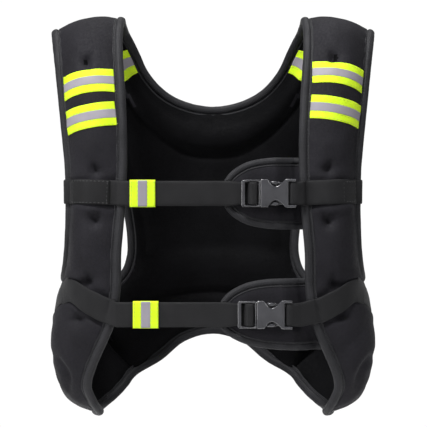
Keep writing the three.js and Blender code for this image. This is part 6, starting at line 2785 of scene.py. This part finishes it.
class Studio:
    """The plain pale floor, the soft lights and the camera at the photograph's viewing angle."""

    FLOOR, FLOOR_RADIUS = -0.47, 0.42
    DISTANCE = 2.0
    EYE = -0.195
    LENS = 160.2
    # The room's grey by height, from straight down at 0 to straight up at 1
    WALL_GREYS = ((0, 0.5), (1, 0.08), (0.36, 0.5), (0.43, 1.0), (0.57, 1.0), (0.63, 0.08))
    # Name, place and size in metres, and watts
    LAMPS = (
        ("key", (-0.55, -1.0, 1.7), (0.6, 0.4), 74.0),
        ("fill", (1.5, -1.3, 0.6), (0.5, 0.9), 16.0),
        ("strip", (-1.5, -0.9, 0.1), (0.5, 1.3), 20.0),
        ("top", (0.15, 0.7, 1.5), (0.9, 0.4), 10.0),
    )

    def build(self, floor_look: bpy.types.Material) -> None:
        """Makes floor, world, lights and camera.

        Args:
            floor_look: The floor's finish.
        """
        bpy.ops.object.select_all(action="DESELECT")
        bpy.ops.mesh.primitive_circle_add(
            vertices=96, radius=self.FLOOR_RADIUS, fill_type="NGON", location=(0, 0, self.FLOOR)
        )
        floor = bpy.context.active_object
        floor.name = "floor"
        floor.data.materials.append(floor_look)
        self._world()
        for lamp in self.LAMPS:
            self._light(*lamp)
        self._camera()

    def _world(self) -> None:
        """A white room: bright round the horizon, dimmer below and dark above, where the lamps are."""
        world = bpy.data.worlds.new("white_room")
        world.use_nodes = True
        tree = world.node_tree
        apart = add_node(
            tree, "ShaderNodeSeparateXYZ", {0: add_node(tree, "ShaderNodeTexCoord").outputs["Generated"]}
        )
        height = {"Value": apart.outputs["Z"], "From Min": -1.0, "From Max": 1.0}
        ramp = add_node(
            tree, "ShaderNodeValToRGB", {0: add_node(tree, "ShaderNodeMapRange", height).outputs[0]}
        )
        stops = ramp.color_ramp.elements
        for place, grey in self.WALL_GREYS:
            stop = stops[int(place)] if place in (0, 1) else stops.new(place)
            stop.color = (grey, grey, grey, 1.0)
        # Dimmer on the wearer's front side, so that the vest's hollow stays dark
        ahead = {"Value": apart.outputs["Y"], 1: -0.2, 2: 0.9, 3: 0.3, 4: 1.02}
        background = tree.nodes["Background"]
        join(tree, background, "Strength", add_node(tree, "ShaderNodeMapRange", ahead).outputs[0])
        join(tree, background, "Color", ramp.outputs[0])
        bpy.context.scene.world = world

    def _light(
        self, name: str, at: tuple[float, float, float], size: tuple[float, float], power: float
    ) -> None:
        """A soft area light turned to the vest.

        Args:
            name: The piece's name.
            at: Its place in metres.
            size: Its width and height in metres.
            power: Its power in watts.
        """
        data = bpy.data.lights.new(name, "AREA")
        data.shape, data.energy = "RECTANGLE", power
        data.size, data.size_y = size
        light = bpy.data.objects.new(name, data)
        light.location = at
        way = Vector((0.0, 0.0, -0.18)) - Vector(at)
        light.rotation_euler = way.to_track_quat("-Z", "Y").to_euler()
        bpy.context.scene.collection.objects.link(light)

    def _camera(self) -> None:
        """The camera, level and straight ahead."""
        data = bpy.data.cameras.new("camera")
        data.lens, data.sensor_width = self.LENS, 36.0
        camera = bpy.data.objects.new("camera", data)
        camera.location = (0.0005, -self.DISTANCE, self.EYE)
        camera.rotation_euler = (math.pi / 2, 0.0, 0.0)
        bpy.context.scene.collection.objects.link(camera)
        bpy.context.scene.camera = camera
        bpy.context.scene.view_settings.view_transform = "Standard"


def build_vest() -> list[bpy.types.Object]:
    """Makes every piece of the vest.

    Returns:
        The pieces.
    """
    sizes, buckle = VestSizes(), BuckleSizes()
    panel = PanelForm(sizes)
    back = BackForm(sizes, panel)
    fronts = [FrontPanel(panel, 1), FrontPanel(panel, -1)]
    back_panel = BackPanel(back)
    made = [front.build() for front in fronts] + [back_panel.build()]
    made += edge_and_armhole_bindings(panel, back)
    for kind in StrapKind:
        place = StrapPlace.on(kind, panel, buckle)
        strap = Strap(place, panel, buckle)
        made += strap.build_long() + strap.build_short()
        made += StrapTab(place, sizes).build() + Guard(place, panel, GuardSizes()).build()
        made += Buckle(place, buckle).build()
    for name, side, rim, arm in SHOULDER_TAPES:
        made += shoulder_tape(fronts[0 if side > 0 else 1], name, arm, rim)
    made += inner_tapes(back_panel)
    made += StrapLabel(panel).build()
    return made


def edge_and_armhole_bindings(panel: PanelForm, back: BackForm) -> list[bpy.types.Object]:
    """The bindings round the armholes and round the neck, fronts and hem.

    Args:
        panel: The front panels' form.
        back: The back.

    Returns:
        The bindings and their stitches.
    """
    wide, thick = panel.sizes.binding_width, panel.sizes.binding_thick
    round_arm = back.arm_edge.part(0, -1).joined(panel.arm_edge.part(None, 0, -1))
    made = []
    for side, name in ((1, "armhole_binding_right"), (-1, "armhole_binding_left")):
        frames = round_arm if side > 0 else round_arm.mirrored()
        made += Binding(name, frames.refined(BINDING_STEPS, True), True, wide, thick).build()
    half = back.neck_edge.part(None, 0, -1).joined(panel.rim_edge.part(0, -1), back.hem_edge)
    other = half.mirrored().part(1, -1).part(None, None, -1)
    frames = half.joined(other).refined(BINDING_STEPS, True)
    return made + Binding("edge_binding", frames, True, wide, thick).build()


def shoulder_tape(front: FrontPanel, name: str, arm: float, rim: float) -> list[bpy.types.Object]:
    """A hi-vis tape over a shoulder.

    Args:
        front: The front panel.
        name: The piece's name.
        arm: Share along the panel at the armhole.
        rim: Share along the panel at the rim.

    Returns:
        The tape's pieces.
    """
    form = front.form
    across = np.linspace(0.004, 0.996, 44)
    path = np.stack([mix(arm, rim, across), across], -1)

    def cloth(t: np.ndarray, f: np.ndarray) -> np.ndarray:
        """The padding's own face."""
        return form.skin(t, f, TAPE_OFF_PANEL + front.relief(t, np.clip(f, 0, 1)))

    tape = HiVisTape(name, form.sizes.tape_width, form.sizes.silver_share)
    return tape.on(cloth, path, np.array([front.side, 1.0, 1.0]))


def inner_tapes(back: BackPanel) -> list[bpy.types.Object]:
    """The hi-vis tapes across the inner face of the back, just below the shoulder seams.

    Args:
        back: The back.

    Returns:
        The tapes' pieces.
    """
    form, made = back.form, []
    width, share = form.sizes.tape_width, form.sizes.silver_share
    across = np.linspace(0, 1, 40) * form.columns[-1]

    def lines(half: float) -> tuple[np.ndarray, np.ndarray]:
        """Cross lines of a band of the tape, and the way that they face.

        Args:
            half: Half the band's width.

        Returns:
            The cross lines' points, and a unit normal for each.
        """
        v = mix(form.rows[1], form.rows[3], 0.5 - STRANDS * half)
        _, points, normals = back.faces(v, across)
        return points.swapaxes(0, 1), -normals.swapaxes(0, 1)[:, len(STRANDS) // 2]

    for name, way in (("inner_tape_right", np.ones(3)), ("inner_tape_left", MIRROR)):
        (tape, facing), (strip, _) = lines(0.5), lines(share / 2)
        off = facing[:, None] * TAPE_OFF_BACK
        made += HiVisTape(name, width, share).build((tape + off) * way, (strip + off) * way, facing * way)
    return made


def main() -> None:
    """Builds the vest on its frame and dresses it."""
    logging.basicConfig(level=logging.INFO, format="%(name)s: %(message)s")
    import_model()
    looks = Looks()
    Studio().build(looks.floor())
    for piece in build_vest():
        looks.dress(piece)
        log.info("%s: %d faces", piece.name, len(piece.data.polygons))


if __name__ == "__main__":
    main()
